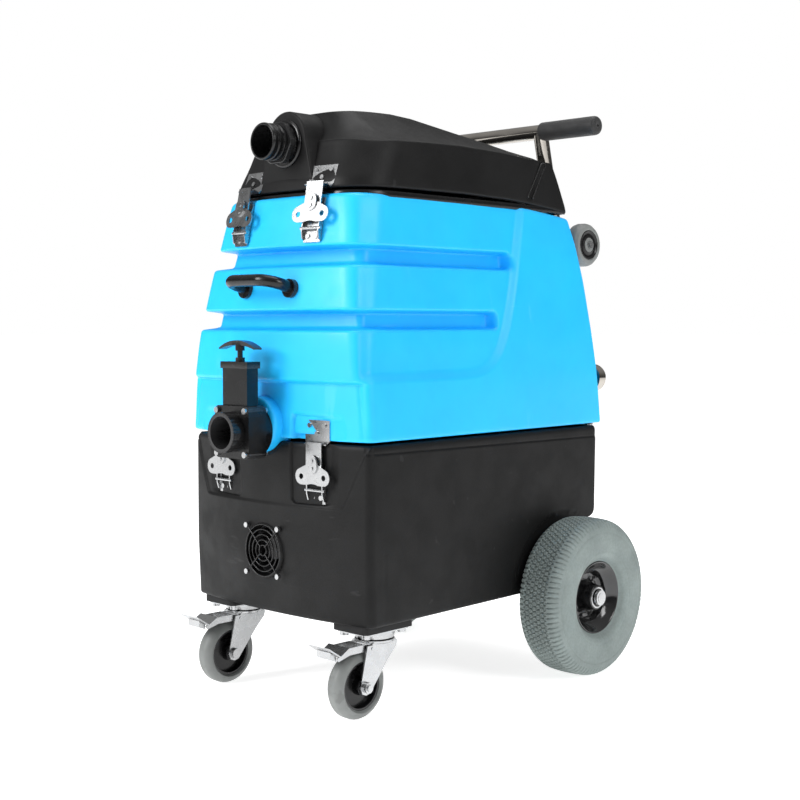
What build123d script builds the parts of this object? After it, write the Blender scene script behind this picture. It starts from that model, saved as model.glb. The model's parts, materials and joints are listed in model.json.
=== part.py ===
from build123d import *
import math
import os

# Portable carpet cleaning machine: a black base housing on four wheels, a blue tank that tilts back
# on it, and a black dome lid with the vacuum hose port.
# Working axes, in millimetres: X = 0 is the plane of symmetry, Y = 0 lies over the rear axle, the
# front faces -Y, and Z = 0 is the floor.  save() moves every piece so that the origin of the
# finished part is on the floor under the middle of the machine.

AXLE_TO_MIDDLE = 220.0

# ---- rolling gear ----
TYRE_R = 130.0
TYRE_WIDTH = 83.0
TYRE_X = 231.0
RIM_R = 60.0
WHEEL_RECESS_X = 188.5
AXLE_R = 7.94
AXLE_END = TYRE_X + 39.0
CASTER_X = 151.0
CASTER_SWIVEL_Y = -410.0
CASTER_AXLE_Y = -449.0
CASTER_R = 50.0
CASTER_WIDTH = 32.0
CASTER_TOP = 130.0
PEDAL_Y = -436.0
PEDAL_Z = 105.0

# ---- housings: heights ----
BASE_BOTTOM = 142.0
BASE_TOP = 406.0
OVERHANG_Z = 261.0
TANK_BOTTOM = 411.0
TANK_TOP = 766.0
LID_BOTTOM = 770.0
SKIRT_Z = 767.0
SKIRT_STEP = 4.0
SHOULDER_Z = 854.0
ROOF_Z = 907.0
WALL = 6.0

# ---- plan levels: z, half width at the front and rear, front, rear, corner radii, front's bow ----
BASE_LEVELS = [
    (BASE_BOTTOM, 201, 186, -484, 95, 14, 6, 19),
    (238, 201, 188, -495, 95, 14, 6, 27),
    (BASE_TOP, 201, 190, -500, 95, 14, 6, 33),
]
TANK_LEVELS = [
    (TANK_BOTTOM, 206, 194, -500, 104, 26, 7, 24),
    (490, 200, 196, -501, 92, 30, 8, 22),
    (560, 195, 193, -496, 81, 40, 10, 20),
    (655, 182, 183, -481, 69, 50, 12, 18),
    (735, 170, 168, -464, 58, 56, 12, 18),
    (TANK_TOP, 163, 160, -458, 53, 62, 12, 18),
]
LID_LEVELS = [
    (LID_BOTTOM, 158, 157, -453, 57, 70, 14, 14),
    (786, 157, 156, -451, 54, 70, 14, 14),
    (SHOULDER_Z, 150, 150, -424, 20, 78, 14, 8),
]
ROOF_LEVELS = [
    (SHOULDER_Z, 150, 150, -424, 20, 78, 14, 8),
    (ROOF_Z + 3, 67, 122, -404, 10, 36, 10, 4),
]
ROOF_LINE = [(-480, 900), (-425, 901), (-380, 905), (-300, ROOF_Z), (-171, 888), (-52, 867), (15, 857),
             (60, 851)]

# ---- tank grooves and side panels ----
GROOVES = [(666, 694, -150), (571, 600, -180)]
GROOVE_DEPTH = 30.0
PANEL_STEP = 8.0
BAND_FOOT_Z = 494.0
SWOOSH = [(-96, 770), (-129, 650), (-149, 595), (-173, 539), (-207, 506), (-250, BAND_FOOT_Z)]

# ---- latches ----
LATCH_PLATE = 2.0
LATCH_STANDOFF = 11.0
LATCH_PIVOT_Z = 8.0
HOOK_Z = 47.6
BASE_LATCH = (105.0, -480.0, 360.0, 0.0, 2.0)
TANK_LATCH = (80.0, -460.6, 742.5, 11.0, 6.0)
LID_KEEPER = (80.0, -464.1, 740.7, 20.7, 6.0)
BASE_LIP = 6.8
LID_LIP = 12.4
RECESS_HALF = 45.0
RECESS_FOOT_Z = 314.0
RECESS_HEAD_Z = 447.0

# ---- front handle ----
HANDLE_HALF = 51.0
HANDLE_Y = -527.0
HANDLE_Z = 632.5
HANDLE_RISE = 12.5

# ---- drain valve ----
VALVE_Z = 421.0
VALVE_FRONT_Y = -578.0
VALVE_MID_Y = -540.0
VALVE_BORE_R = 24.2
BOSS_R = 42.0
BOSS_FRONT_Y = -510.0

# ---- hose port ----
PORT_Z = 853.0
PORT_FRONT_Y = -496.0
PORT_R = 28.0
PORT_BORE_R = 24.0
BOSS_Y = -448.0
BOSS_ARCH_Z = 858.0
BOSS_TOP_HALF = 44.0
BOSS_FOOT_HALF = 58.0
BOSS_FOOT_Z = 800.0

# ---- cooling fan ----
FAN_Z = 238.0
FAN_PITCH = 35.75
FAN_FACE_Y = -496.6

# ---- rear handle and transport wheels ----
BAR_Y = 48.0
BAR_Z = 911.0
TUBE_R = 12.7
TUBE_BORE_R = 10.7
UPRIGHT_X = 100.0
GRIP_START = 97.0
GRIP_END = 225.0
GRIP_R = 16.0
TRANSPORT_Y = 101.0
TRANSPORT_Z = 717.0
TRANSPORT_X = 152.0
TRANSPORT_R = 37.0
TRANSPORT_WIDTH = 30.0

# ---- rear hinges ----
HINGE_X = 100.0
HINGE_Y = 107.0
HINGE_Z = 408.5

# ---- rear panel ----
PANEL_Y = 95.0
SWITCH_X = (-70.0, 0.0, 70.0)
SWITCH_Z = 352.0

# ---- fill cap ----
CAP_X = 170.0
CAP_Z = 487.0
CAP_R = 23.5
NECK_Y = 108.0

os.makedirs("parts", exist_ok=True)


def save(node, *pieces):
    """Write one node as a group of closed solids."""
    solids = [solid for piece in pieces for solid in piece.solids()]
    export_step(Pos(0, AXLE_TO_MIDDLE, 0) * Compound(solids), f"parts/{node}.step")


def block(x0, x1, y0, y1, z0, z1):
    """Box between two opposite corners."""
    middle = ((x0 + x1) / 2, (y0 + y1) / 2, (z0 + z1) / 2)
    return Pos(*middle) * Box(x1 - x0, y1 - y0, z1 - z0)


def rod(start, end, radius, bore=0.0):
    """Round bar, or tube when a bore is given, from one point to another."""
    span = Vector(*end) - Vector(*start)
    plane = Plane(origin=start, z_dir=span)
    outer = plane * extrude(Circle(radius), span.length)
    if not bore:
        return outer
    return outer - plane * extrude(Circle(bore), span.length)


def turned(profile, x=0.0, y=0.0, z=0.0, axis="X"):
    """Solid of revolution: profile is a list of (distance along the axis, radius)."""
    face = make_face(Polyline(*[(r, a) for a, r in profile], close=True))
    body = revolve(Plane.XZ * face, Axis.Z)
    turn = {"X": Rot(0, 90, 0), "Y": Rot(-90, 0, 0), "Z": Rot(0, 0, 0)}[axis]
    return Pos(x, y, z) * turn * body


def mirrored(shape):
    """The same shape on the other side of the plane of symmetry."""
    return shape.mirror(Plane.YZ)


def both(shape):
    """A shape and its mirror image as a list of solids."""
    return list(shape.solids()) + list(mirrored(shape).solids())


def plan(level, side=0.0, front=0.0, rear=0.0):
    """Plan outline of a housing at one height, drawn in by the given amounts."""
    z, half_front, half_rear, y_front, y_rear, r_front, r_rear, bow = level
    half_front -= side
    half_rear -= side
    y_front += front
    y_rear -= rear
    left = (-half_front, y_front + bow)
    right = (half_front, y_front + bow)
    edges = [
        ThreePointArc(left, (0, y_front), right),
        Line(right, (half_rear, y_rear)),
        Line((half_rear, y_rear), (-half_rear, y_rear)),
        Line((-half_rear, y_rear), left),
    ]
    face = make_face(edges).face()
    radius_front = max(r_front - side, 5)
    radius_rear = max(r_rear - side, 4)
    face = face.fillet_2d(radius_front, face.vertices().sort_by(Axis.Y)[:2])
    face = face.fillet_2d(radius_rear, face.vertices().sort_by(Axis.Y)[-2:])
    return Pos(0, 0, z) * face


def at_height(levels, z):
    """Level worked out between two given ones."""
    for low, high in zip(levels, levels[1:]):
        if low[0] <= z <= high[0]:
            part = (z - low[0]) / (high[0] - low[0])
            return tuple(a + (b - a) * part for a, b in zip(low, high))
    raise ValueError(z)


def housing(levels, side=0.0, front=0.0, rear=0.0, low=None, high=None):
    """Solid lofted through the plan outlines, from one height to another."""
    low = levels[0][0] if low is None else low
    high = levels[-1][0] if high is None else high
    inner = [level for level in levels if low < level[0] < high]
    chain = [at_height(levels, low)] + inner + [at_height(levels, high)]
    wires = [plan(level, side, front, rear).wire() for level in chain]
    return Solid.make_loft(wires, ruled=True)


# ================= base housing =================
def build_base():
    outer = housing(BASE_LEVELS)
    cavity = housing(BASE_LEVELS, WALL, WALL, WALL, BASE_BOTTOM + WALL)
    pockets = []
    recesses = []
    for side in (-1, 1):
        x = side * BASE_LATCH[0]
        y = BASE_LATCH[1]
        pockets.append(block(x - RECESS_HALF - WALL, x + RECESS_HALF + WALL, y - 25, y + WALL,
                             RECESS_FOOT_Z - WALL, BASE_TOP))
        recesses.append(block(x - RECESS_HALF, x + RECESS_HALF, y - 25, y, RECESS_FOOT_Z, BASE_TOP))
    rear_step = side_prism([(16, BASE_BOTTOM), (16, 238), (24, 254), (40, OVERHANG_Z),
                            (120, OVERHANG_Z), (120, BASE_BOTTOM)], 200)
    inner_step = side_prism([(16 - WALL, BASE_BOTTOM), (16 - WALL, 240), (20, 259), (38, OVERHANG_Z + WALL),
                             (120, OVERHANG_Z + WALL), (120, BASE_BOTTOM)], 200)
    shell = outer - (cavity - inner_step) - rear_step
    for pocket in pockets:
        shell += pocket & outer
    for recess in recesses:
        shell -= recess
    shell -= rod((0, -520, FAN_Z), (0, -440, FAN_Z), 40)
    shell -= rod((0, -520, VALVE_Z), (0, -470, VALVE_Z), BOSS_R + 2)
    for x in (-35, 35):
        shell -= block(x - 15.5, x + 15.5, 80, 110, 285, 318)
    for x in SWITCH_X:
        shell -= block(x - 11, x + 11, 80, 110, SWITCH_Z - 15, SWITCH_Z + 15)
    shell -= rod((85, 80, 300), (85, 110, 300), 8)
    for side in (-1, 1):
        shell -= rod((side * WHEEL_RECESS_X, 0, TYRE_R), (side * 230, 0, TYRE_R), TYRE_R + 6)
    return shell


def side_prism(points, half):
    """Outline drawn on the (Y, Z) plane, swept across the machine."""
    face = make_face(Polyline(*points, close=True))
    return Pos(-half, 0, 0) * extrude(Plane.YZ * face, 2 * half)


base_shell = build_base()
save("base_shell", base_shell)


# ================= cooling fan =================
def build_fan():
    frame = block(-40, 40, -478, -453, FAN_Z - 40, FAN_Z + 40)
    frame -= rod((0, -480, FAN_Z), (0, -456, FAN_Z), 38)
    frame -= rod((0, -460, FAN_Z), (0, -450, FAN_Z), 38)
    frame += rod((0, -456, FAN_Z), (0, -453, FAN_Z), 16)
    for turn in range(4):
        strut = block(-2, 2, -456, -453, FAN_Z + 14, FAN_Z + 39)
        frame += strut.rotate(Axis((0, 0, FAN_Z), (0, 1, 0)), 45 + 90 * turn)
    frame -= rod((0, -458, FAN_Z), (0, -450, FAN_Z), 2.05)
    rotor = rod((0, -474, FAN_Z), (0, -458, FAN_Z), 17) + rod((0, -458, FAN_Z), (0, -454, FAN_Z), 2.0)
    for turn in range(7):
        blade = Pos(0, -466, FAN_Z + 25.5) * Rot(0, 0, 40) * Box(19, 1.6, 21)
        rotor += blade.rotate(Axis((0, 0, FAN_Z), (0, 1, 0)), turn * 360 / 7)
    return frame, rotor


def fan_corners():
    return [(sx * FAN_PITCH, FAN_Z + sz * FAN_PITCH) for sx in (-1, 1) for sz in (-1, 1)]


def build_guard():
    y = FAN_FACE_Y - 1.2
    wires = [Pos(0, y, FAN_Z) * Rot(90, 0, 0) * Torus(radius, 1.1) for radius in (8, 16, 24, 32, 39.5)]
    guard = wires[0].fuse(*wires[1:])
    for x, z in fan_corners():
        guard += rod((x * 0.14, y - 1.0, FAN_Z + (z - FAN_Z) * 0.14), (x, y - 1.0, z), 1.1)
        guard += rod((x, y - 2.2, z), (x, y + 0.4, z), 4.2)
    return guard


fan_frame, fan_rotor = build_fan()
save("fan_frame", fan_frame)
save("fan_rotor", fan_rotor)
save("fan_guard", build_guard())


# ================= works inside the base =================
def build_vacuum(x):
    case = turned([(0, 0), (0, 72), (70, 72), (76, 66), (76, 46), (80, 44), (160, 44), (168, 30), (168, 0)],
                  x, -170, BASE_BOTTOM + WALL, "Z")
    horn = rod((x, -170, BASE_BOTTOM + WALL + 35), (x, -170 - 100, BASE_BOTTOM + WALL + 35), 24)
    return case + horn


def build_pump():
    z = BASE_BOTTOM + WALL
    foot = block(-45, 45, -400, -320, z, z + 6)
    motor = rod((-45, -360, z + 45), (40, -360, z + 45), 38)
    head = block(40, 78, -392, -328, z + 6, z + 84)
    return foot + motor + head + block(-30, 30, -380, -340, z + 5, z + 20)


save("vacuum_motors", build_vacuum(-90), build_vacuum(90))
save("solution_pump", build_pump())


# ================= rear wheels =================
def build_tyre():
    half = TYRE_WIDTH / 2
    outer = TYRE_R
    edges = [
        Line((RIM_R, -half + 12), (RIM_R, half - 12)),
        Line((RIM_R, half - 12), (RIM_R + 4, half - 9)),
        ThreePointArc((RIM_R + 4, half - 9), (RIM_R + 30, half), (outer - 24, half - 1.5)),
        ThreePointArc((outer - 24, half - 1.5), (outer - 7.5, half - 7), (outer - 1.5, half - 18)),
        ThreePointArc((outer - 1.5, half - 18), (outer, 0), (outer - 1.5, -half + 18)),
        ThreePointArc((outer - 1.5, -half + 18), (outer - 7.5, -half + 7), (outer - 24, -half + 1.5)),
        ThreePointArc((outer - 24, -half + 1.5), (RIM_R + 30, -half), (RIM_R + 4, -half + 9)),
        Line((RIM_R + 4, -half + 9), (RIM_R, -half + 12)),
    ]
    ring = revolve(Plane.XZ * make_face(edges), Axis.Z)
    return Pos(TYRE_X, 0, TYRE_R) * Rot(0, 90, 0) * ring


def build_rim():
    web = turned([(-30, 48), (-30, 59.9), (30, 59.9), (30, 48), (27, 48), (27, 55), (8, 55), (4, 46), (4, 16),
                  (-1, 16), (-1, 46), (-6, 55), (-27, 55), (-27, 48)], TYRE_X, 0, TYRE_R)
    hub = turned([(-34, AXLE_R + 0.06), (-34, 19), (32, 19), (32, AXLE_R + 0.06)], TYRE_X, 0, TYRE_R)
    rim = web + hub
    for turn in range(6):
        hole = rod((TYRE_X - 20, 0, TYRE_R + 33), (TYRE_X + 20, 0, TYRE_R + 33), 8)
        rim -= hole.rotate(Axis((TYRE_X, 0, TYRE_R), (1, 0, 0)), 60 * turn)
    return rim


tyre = build_tyre()
rim = build_rim()
save("rear_tyre_right", tyre)
save("rear_tyre_left", mirrored(tyre))
save("rear_rim_right", rim)
save("rear_rim_left", mirrored(rim))
save("rear_axle", rod((-AXLE_END, 0, TYRE_R), (AXLE_END, 0, TYRE_R), AXLE_R))
axle_nut = rod((TYRE_X + 32.4, 0, TYRE_R), (TYRE_X + 38.4, 0, TYRE_R), 12.5, AXLE_R + 0.02)
axle_washer = rod((TYRE_X - 37, 0, TYRE_R), (TYRE_X - 34.4, 0, TYRE_R), 14, AXLE_R + 0.02)
save("axle_nuts", *both(axle_nut), *both(axle_washer))


def build_axle_bracket():
    foot = block(138, 178, -30, 12, BASE_BOTTOM - 4, BASE_BOTTOM)
    cheek = block(155, 161, -18, 12, 116, BASE_BOTTOM - 4) - block(150, 170, 10, 20, 100, 122)
    return foot + cheek - rod((150, 0, TYRE_R), (170, 0, TYRE_R), AXLE_R + 0.02)


save("axle_brackets", *both(build_axle_bracket()))


# ================= casters =================
def build_caster_plate():
    plate = block(CASTER_X - 32, CASTER_X + 32, -459, -367, CASTER_TOP - 3, CASTER_TOP)
    plate = fillet(plate.edges().filter_by(Axis.Z), 7)
    race = turned([(0, 0), (0, 24), (2, 29), (8, 31), (12, 31), (12, 0)], CASTER_X, CASTER_SWIVEL_Y, 115, "Z")
    for x, y in caster_bolt_places():
        plate -= rod((x, y, CASTER_TOP - 5), (x, y, CASTER_TOP + 2), 4.2)
    return plate + race


def caster_bolt_places():
    return [(CASTER_X + sx * 23, -413 + sy * 37) for sx in (-1, 1) for sy in (-1, 1)]


def build_caster_bolts():
    bolts = []
    for x, y in caster_bolt_places():
        bolts.append(rod((x, y, CASTER_TOP - 8.5), (x, y, CASTER_TOP - 3), 6.5))
    return bolts


def build_fork():
    crown = turned([(-2.6, 0), (-2.6, 27), (-1, 30), (2, 30), (2, 0)], CASTER_X, CASTER_SWIVEL_Y, 112.6, "Z")
    leg = make_face(Polyline((-446, 110), (-461, 50), (-457, 41), (-449, 38), (-441, 40), (-404, 84),
                             (-386, 102), (-384, 110), close=True))
    inner = CASTER_X + 19.5
    fork = crown
    for x in (inner, CASTER_X - 19.5 - 2.6):
        fork += Pos(x, 0, 0) * extrude(Plane.YZ * leg, 2.6)
    fork += block(CASTER_X - 22, CASTER_X + 22, -436, -386, 110, 112.6)
    fork -= rod((CASTER_X - 40, CASTER_AXLE_Y, CASTER_R), (CASTER_X + 40, CASTER_AXLE_Y, CASTER_R), 5.0)
    fork -= rod((CASTER_X - 40, PEDAL_Y, PEDAL_Z), (CASTER_X + 40, PEDAL_Y, PEDAL_Z), 2.55)
    bolt = rod((CASTER_X - 27, CASTER_AXLE_Y, CASTER_R), (CASTER_X + 31, CASTER_AXLE_Y, CASTER_R), 4.95)
    bolt += rod((CASTER_X - 28, CASTER_AXLE_Y, CASTER_R), (CASTER_X - 22.2, CASTER_AXLE_Y, CASTER_R), 8)
    nut = rod((CASTER_X + 22.2, CASTER_AXLE_Y, CASTER_R), (CASTER_X + 28.5, CASTER_AXLE_Y, CASTER_R), 8, 4.97)
    return fork, bolt, nut


def build_caster_wheel():
    half = CASTER_WIDTH / 2
    edges = [
        Line((36, -half + 3), (36, half - 3)),
        Line((36, half - 3), (39, half)),
        ThreePointArc((39, half), (46.5, half - 4.5), (CASTER_R - 0.2, 6)),
        Line((CASTER_R - 0.2, 6), (CASTER_R, 4)),
        Line((CASTER_R, 4), (CASTER_R, -4)),
        Line((CASTER_R, -4), (CASTER_R - 0.2, -6)),
        ThreePointArc((CASTER_R - 0.2, -6), (46.5, -half + 4.5), (39, -half)),
        Line((39, -half), (36, -half + 3)),
    ]
    ring = revolve(Plane.XZ * make_face(edges), Axis.Z)
    tread = Pos(CASTER_X, CASTER_AXLE_Y, CASTER_R) * Rot(0, 90, 0) * ring
    profile = [(-18.5, 5.01), (-18.5, 13), (-6, 14), (-4, 31), (-12, 33), (-12, 35.9), (12, 35.9), (12, 33),
               (4, 31), (6, 14), (18.5, 13), (18.5, 5.01)]
    core = turned(profile, CASTER_X, CASTER_AXLE_Y, CASTER_R)
    return tread, core


def build_pedal():
    half = 17.5
    cheek = make_face(Polyline((-431, 109), (-440, 101.8), (-478, 101.6), (-500, 96), (-503, 101),
                               (-484, 112), (-446, 112), close=True))
    pedal = block(CASTER_X - half, CASTER_X + half, -484, -447, 110, 112)
    for x in (CASTER_X - half, CASTER_X + half - 2):
        pedal += Pos(x, 0, 0) * extrude(Plane.YZ * cheek, 2)
    tip = make_face(Polyline((-483, 112), (-500, 102), (-522, 117), (-523, 119.4), (-500, 104.4), (-483, 114),
                             close=True))
    pedal += Pos(CASTER_X - 22, 0, 0) * extrude(Plane.YZ * tip, 44)
    pad = make_face(Polyline((-502, 103), (-502, 96), (-514, 101), (-514, 111), close=True))
    rubber = Pos(CASTER_X - 14, 0, 0) * extrude(Plane.YZ * pad, 28)
    pin = rod((CASTER_X - 23, PEDAL_Y, PEDAL_Z), (CASTER_X + 23, PEDAL_Y, PEDAL_Z), 2.5)
    return pedal + pin, rubber


fork_pieces = build_fork()
wheel_tread, wheel_core = build_caster_wheel()
pedal_pieces = build_pedal()
save("caster_fork_right", *fork_pieces)
save("caster_fork_left", *[mirrored(piece) for piece in fork_pieces])
save("caster_tyre_right", wheel_tread)
save("caster_tyre_left", mirrored(wheel_tread))
save("caster_core_right", wheel_core)
save("caster_core_left", mirrored(wheel_core))
save("brake_pedal_right", *pedal_pieces)
save("brake_pedal_left", *[mirrored(piece) for piece in pedal_pieces])
save("caster_plates", *both(build_caster_plate()))
save("caster_bolts", *[solid for bolt in build_caster_bolts() for solid in both(bolt)])
caster_pad = block(CASTER_X - 36, CASTER_X + 36, -464, -362, CASTER_TOP, BASE_BOTTOM)
save("caster_pads", *both(fillet(caster_pad.edges().filter_by(Axis.Z), 8)))


# ================= latches =================
def latch_place(place, side):
    """Location of a latch: local X across, Y into the wall, Z up."""
    x, y, z, lean, turn = place
    return Pos(side * x, y, z) * Rot(0, 0, side * turn) * Rot(-lean, 0, 0)


def latch_bracket():
    plate = block(-16, 16, -LATCH_PLATE, 0, -43, 24)
    for x in (-17, 15):
        cheek = make_face(Polyline((0, -41), (-6, -38), (-9, -28), (-9, -12), (-5, 4), (0, 24), close=True))
        plate += Pos(x, 0, 0) * extrude(Plane.YZ * cheek, 2)
    return plate + rod((-20, -7, -23), (20, -7, -23), 2.4)


def latch_rivets():
    return [rod((x, -LATCH_PLATE - 2, -34), (x, -LATCH_PLATE, -34), 3.8) for x in (-8, 8)]


def latch_wing():
    y = -LATCH_STANDOFF
    lobes = [Pos(x, -3) * Circle(12) for x in (-23, 23)]
    outline = make_hull(lobes[0].edges() + lobes[1].edges() + (Pos(0, 6) * Circle(13)).edges())
    outline -= Pos(0, -46) * Circle(33)
    for x in (-23, 23):
        outline -= Pos(x, -3) * Circle(4.2)
    wing = Pos(0, y, 0) * extrude(Plane.XZ * outline, 2)
    oval = Pos(0, y - 2, 15) * extrude(Plane.XZ * SlotOverall(27, 22, rotation=90), 2.4)
    post = rod((0, y, LATCH_PIVOT_Z), (0, -LATCH_PLATE - 0.5, LATCH_PIVOT_Z), 4)
    studs = [rod((0, y - 4.4, z), (0, y - 5.8, z), 3.8) for z in (9.5, 20.5)]
    return [wing + oval + post, *studs]


def latch_claw():
    strap = block(-16, 16, -LATCH_STANDOFF + 0.8, -LATCH_STANDOFF + 2.6, -9.6, HOOK_Z)
    strap -= block(-4.6, 4.6, -20, 0, -4.8, 28)
    hook = block(-16, 16, -LATCH_STANDOFF + 0.8, -4.9, HOOK_Z - 1.8, HOOK_Z)
    return strap + hook


def latch_keeper(reach):
    z = HOOK_Z - 3.7
    plate = make_face(Polyline((-25, 80), (25, 80), (25, z + 6), (19, z), (-19, z), (-25, z + 6), close=True))
    keeper = extrude(Plane.XZ * plate, LATCH_PLATE)
    lip = make_face(Polyline((-19, 0), (19, 0), (22, -reach), (-22, -reach), close=True))
    return keeper + Pos(0, 0, z) * extrude(lip, 1.6)


def keeper_screws():
    places = ((-15, 72), (15, 72), (0, 60))
    return [rod((x, -LATCH_PLATE - 2.4, z), (x, -LATCH_PLATE, z), 3.6) for x, z in places]


# ================= tank =================
def swoosh_region(grow=0.0):
    """Side area of the bands, in front of the curved edge of the rear panel."""
    points = [(y - grow, z) for y, z in SWOOSH]
    return [(-600, 800)] + [(points[0][0], 800)] + points[1:] + [(-600, BAND_FOOT_Z - grow)]


def tank_solid(inset):
    """Tank shape drawn in by a wall thickness."""
    low = TANK_BOTTOM + inset
    high = TANK_TOP - inset
    body = housing(TANK_LEVELS, inset, inset, inset, low, high)
    narrow = housing(TANK_LEVELS, inset + PANEL_STEP, inset - 30, inset - 30, low, high)
    body -= side_prism(swoosh_region(-inset), 260) - narrow
    deep = housing(TANK_LEVELS, inset + GROOVE_DEPTH, inset + GROOVE_DEPTH, inset - 30, low, high)
    for z_low, z_high, y_end in GROOVES:
        body -= block(-260, 260, -600, y_end + inset, z_low - inset, z_high + inset) - deep
    foot = housing(TANK_LEVELS, inset - 30, inset + PANEL_STEP, inset - 30, low, BAND_FOOT_Z + inset)
    body -= block(-260, 260, -600, -420, TANK_BOTTOM - 10, BAND_FOOT_Z + inset) - foot
    return body


def build_tank():
    outer = tank_solid(0.0)
    for side in (-1, 1):
        x = side * BASE_LATCH[0]
        outer -= block(x - RECESS_HALF, x + RECESS_HALF, -600, BASE_LATCH[1], TANK_BOTTOM - 1, RECESS_HEAD_Z)
    shell = outer - tank_solid(WALL)
    for side in (-1, 1):
        x = side * BASE_LATCH[0]
        shell += block(x - RECESS_HALF - WALL, x + RECESS_HALF + WALL, BASE_LATCH[1], BASE_LATCH[1] + WALL,
                       TANK_BOTTOM, RECESS_HEAD_Z + WALL)
    shell -= block(-110, 110, -395, -20, TANK_TOP - 20, TANK_TOP + 5)
    shell -= rod((0, -600, VALVE_Z), (0, -470, VALVE_Z), VALVE_BORE_R + 4.1)
    return outer, shell


tank_outer, tank_shell = build_tank()
tank_shell += rod((CAP_X, NECK_Y - 24, CAP_Z), (CAP_X, NECK_Y, CAP_Z), 18, 14) - tank_solid(WALL)
tank_shell -= rod((CAP_X, NECK_Y - 40, CAP_Z), (CAP_X, NECK_Y + 2, CAP_Z), 14)
for x in (-HINGE_X - 71, HINGE_X - 1):
    tank_shell -= rod((x, HINGE_Y, HINGE_Z), (x + 72, HINGE_Y, HINGE_Z), 5.4)
save("tank_shell", tank_shell)


def build_drain_boss():
    boss = rod((0, BOSS_FRONT_Y, VALVE_Z + 9), (0, -470, VALVE_Z + 9), BOSS_R)
    boss -= block(-60, 60, -492, 0, 300, TANK_BOTTOM)
    boss -= rod((0, -600, VALVE_Z), (0, -440, VALVE_Z), VALVE_BORE_R + 4.1)
    return boss - tank_outer


save("drain_boss", build_drain_boss())


def build_cap():
    cap = rod((CAP_X, 97.2, CAP_Z), (CAP_X, 114, CAP_Z), CAP_R)
    dome = Pos(CAP_X, 105, CAP_Z) * Sphere(25.5)
    cap += dome & rod((CAP_X, 114, CAP_Z), (CAP_X, 140, CAP_Z), CAP_R)
    return cap - rod((CAP_X, 90, CAP_Z), (CAP_X, 110, CAP_Z), 18.4)


save("fill_cap", build_cap())


def build_front_handle():
    feet = [(x, -478, HANDLE_Z) for x in (-HANDLE_HALF, HANDLE_HALF)]
    corners = [(x, HANDLE_Y, HANDLE_Z + HANDLE_RISE) for x in (-HANDLE_HALF, HANDLE_HALF)]
    route = FilletPolyline(feet[0], *corners, feet[1], radius=26)
    bar = sweep(Plane(origin=feet[0], z_dir=route % 0) * Circle(9), path=route)
    for x, y, z in feet:
        bar += rod((x, -490, z + 1), (x, y, z), 14)
    return bar - tank_outer


save("front_handle", build_front_handle())


# ================= drain valve =================
def build_valve():
    y_front = VALVE_MID_Y - 17
    y_rear = VALVE_MID_Y + 17
    body = block(-39, 39, y_front, y_rear, VALVE_Z - 39, VALVE_Z + 39)
    body = fillet(body.edges().filter_by(Axis.Y), 9)
    body += rod((0, VALVE_FRONT_Y, VALVE_Z), (0, y_front, VALVE_Z), 30)
    body += rod((0, y_rear, VALVE_Z), (0, BOSS_FRONT_Y - 0.05, VALVE_Z), 38)
    body += rod((0, BOSS_FRONT_Y - 4, VALVE_Z), (0, -476, VALVE_Z), VALVE_BORE_R + 4)
    body += block(-28, 28, VALVE_MID_Y - 10.5, VALVE_MID_Y + 10.5, VALVE_Z + 30, 515)
    body += block(-31, 31, VALVE_MID_Y - 12.5, VALVE_MID_Y + 12.5, 515, 525)
    body += rod((0, VALVE_MID_Y, 525), (0, VALVE_MID_Y, 531), 7)
    body -= rod((0, VALVE_FRONT_Y - 1, VALVE_Z), (0, -470, VALVE_Z), VALVE_BORE_R)
    body -= block(-25.8, 25.8, VALVE_MID_Y - 2.5, VALVE_MID_Y + 2.5, VALVE_Z - 28, 508)
    body -= rod((0, VALVE_MID_Y, VALVE_Z + 20), (0, VALVE_MID_Y, 540), 4.1)
    return body


def valve_corners():
    return [(sx * 32, VALVE_Z + sz * 32) for sx in (-1, 1) for sz in (-1, 1)]


def build_valve_bolts():
    bolts = []
    for x, z in valve_corners():
        y_front = VALVE_MID_Y - 17
        bolts.append(rod((x, y_front - 4, z), (x, y_front, z), 4.6))
        bolts.append(rod((x, VALVE_MID_Y + 17, z), (x, VALVE_MID_Y + 22, z), 4.6) -
                     rod((0, VALVE_MID_Y, VALVE_Z), (0, BOSS_FRONT_Y, VALVE_Z), 38.1))
    return bolts


def build_gate():
    gate = block(-25.4, 25.4, VALVE_MID_Y - 1.8, VALVE_MID_Y + 1.8, VALVE_Z - 1, VALVE_Z + 30)
    gate += rod((0, VALVE_MID_Y - 1.8, VALVE_Z), (0, VALVE_MID_Y + 1.8, VALVE_Z), 25.4)
    stem = rod((0, VALVE_MID_Y, VALVE_Z + 25), (0, VALVE_MID_Y, 548), 4.0)
    bar = make_face([ThreePointArc((-41, 545), (0, 556.5), (41, 545)), Line((41, 545), (40, 543)),
                     ThreePointArc((40, 543), (0, 549.5), (-40, 543)), Line((-40, 543), (-41, 545))])
    grip = Pos(0, VALVE_MID_Y + 7.5, 0) * extrude(Plane.XZ * bar, 15)
    boss = rod((0, VALVE_MID_Y, 541), (0, VALVE_MID_Y, 550), 7)
    return gate + stem + grip + boss


save("valve_body", build_valve())
save("valve_gate", build_gate())


# ================= latches in place =================
LATCH_SETS = [("base", BASE_LATCH, "base_latch_brackets"), ("lid", TANK_LATCH, "tank_latch_brackets")]
for name, place, label in LATCH_SETS:
    places = [latch_place(place, side) for side in (-1, 1)]
    save(label, *[spot * latch_bracket() - tank_outer - base_shell for spot in places])
    for side_name, spot in zip(("left", "right"), places):
        save(f"latch_wing_{name}_{side_name}", *[spot * piece for piece in latch_wing()])
        save(f"latch_claw_{name}_{side_name}", spot * latch_claw())


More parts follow.
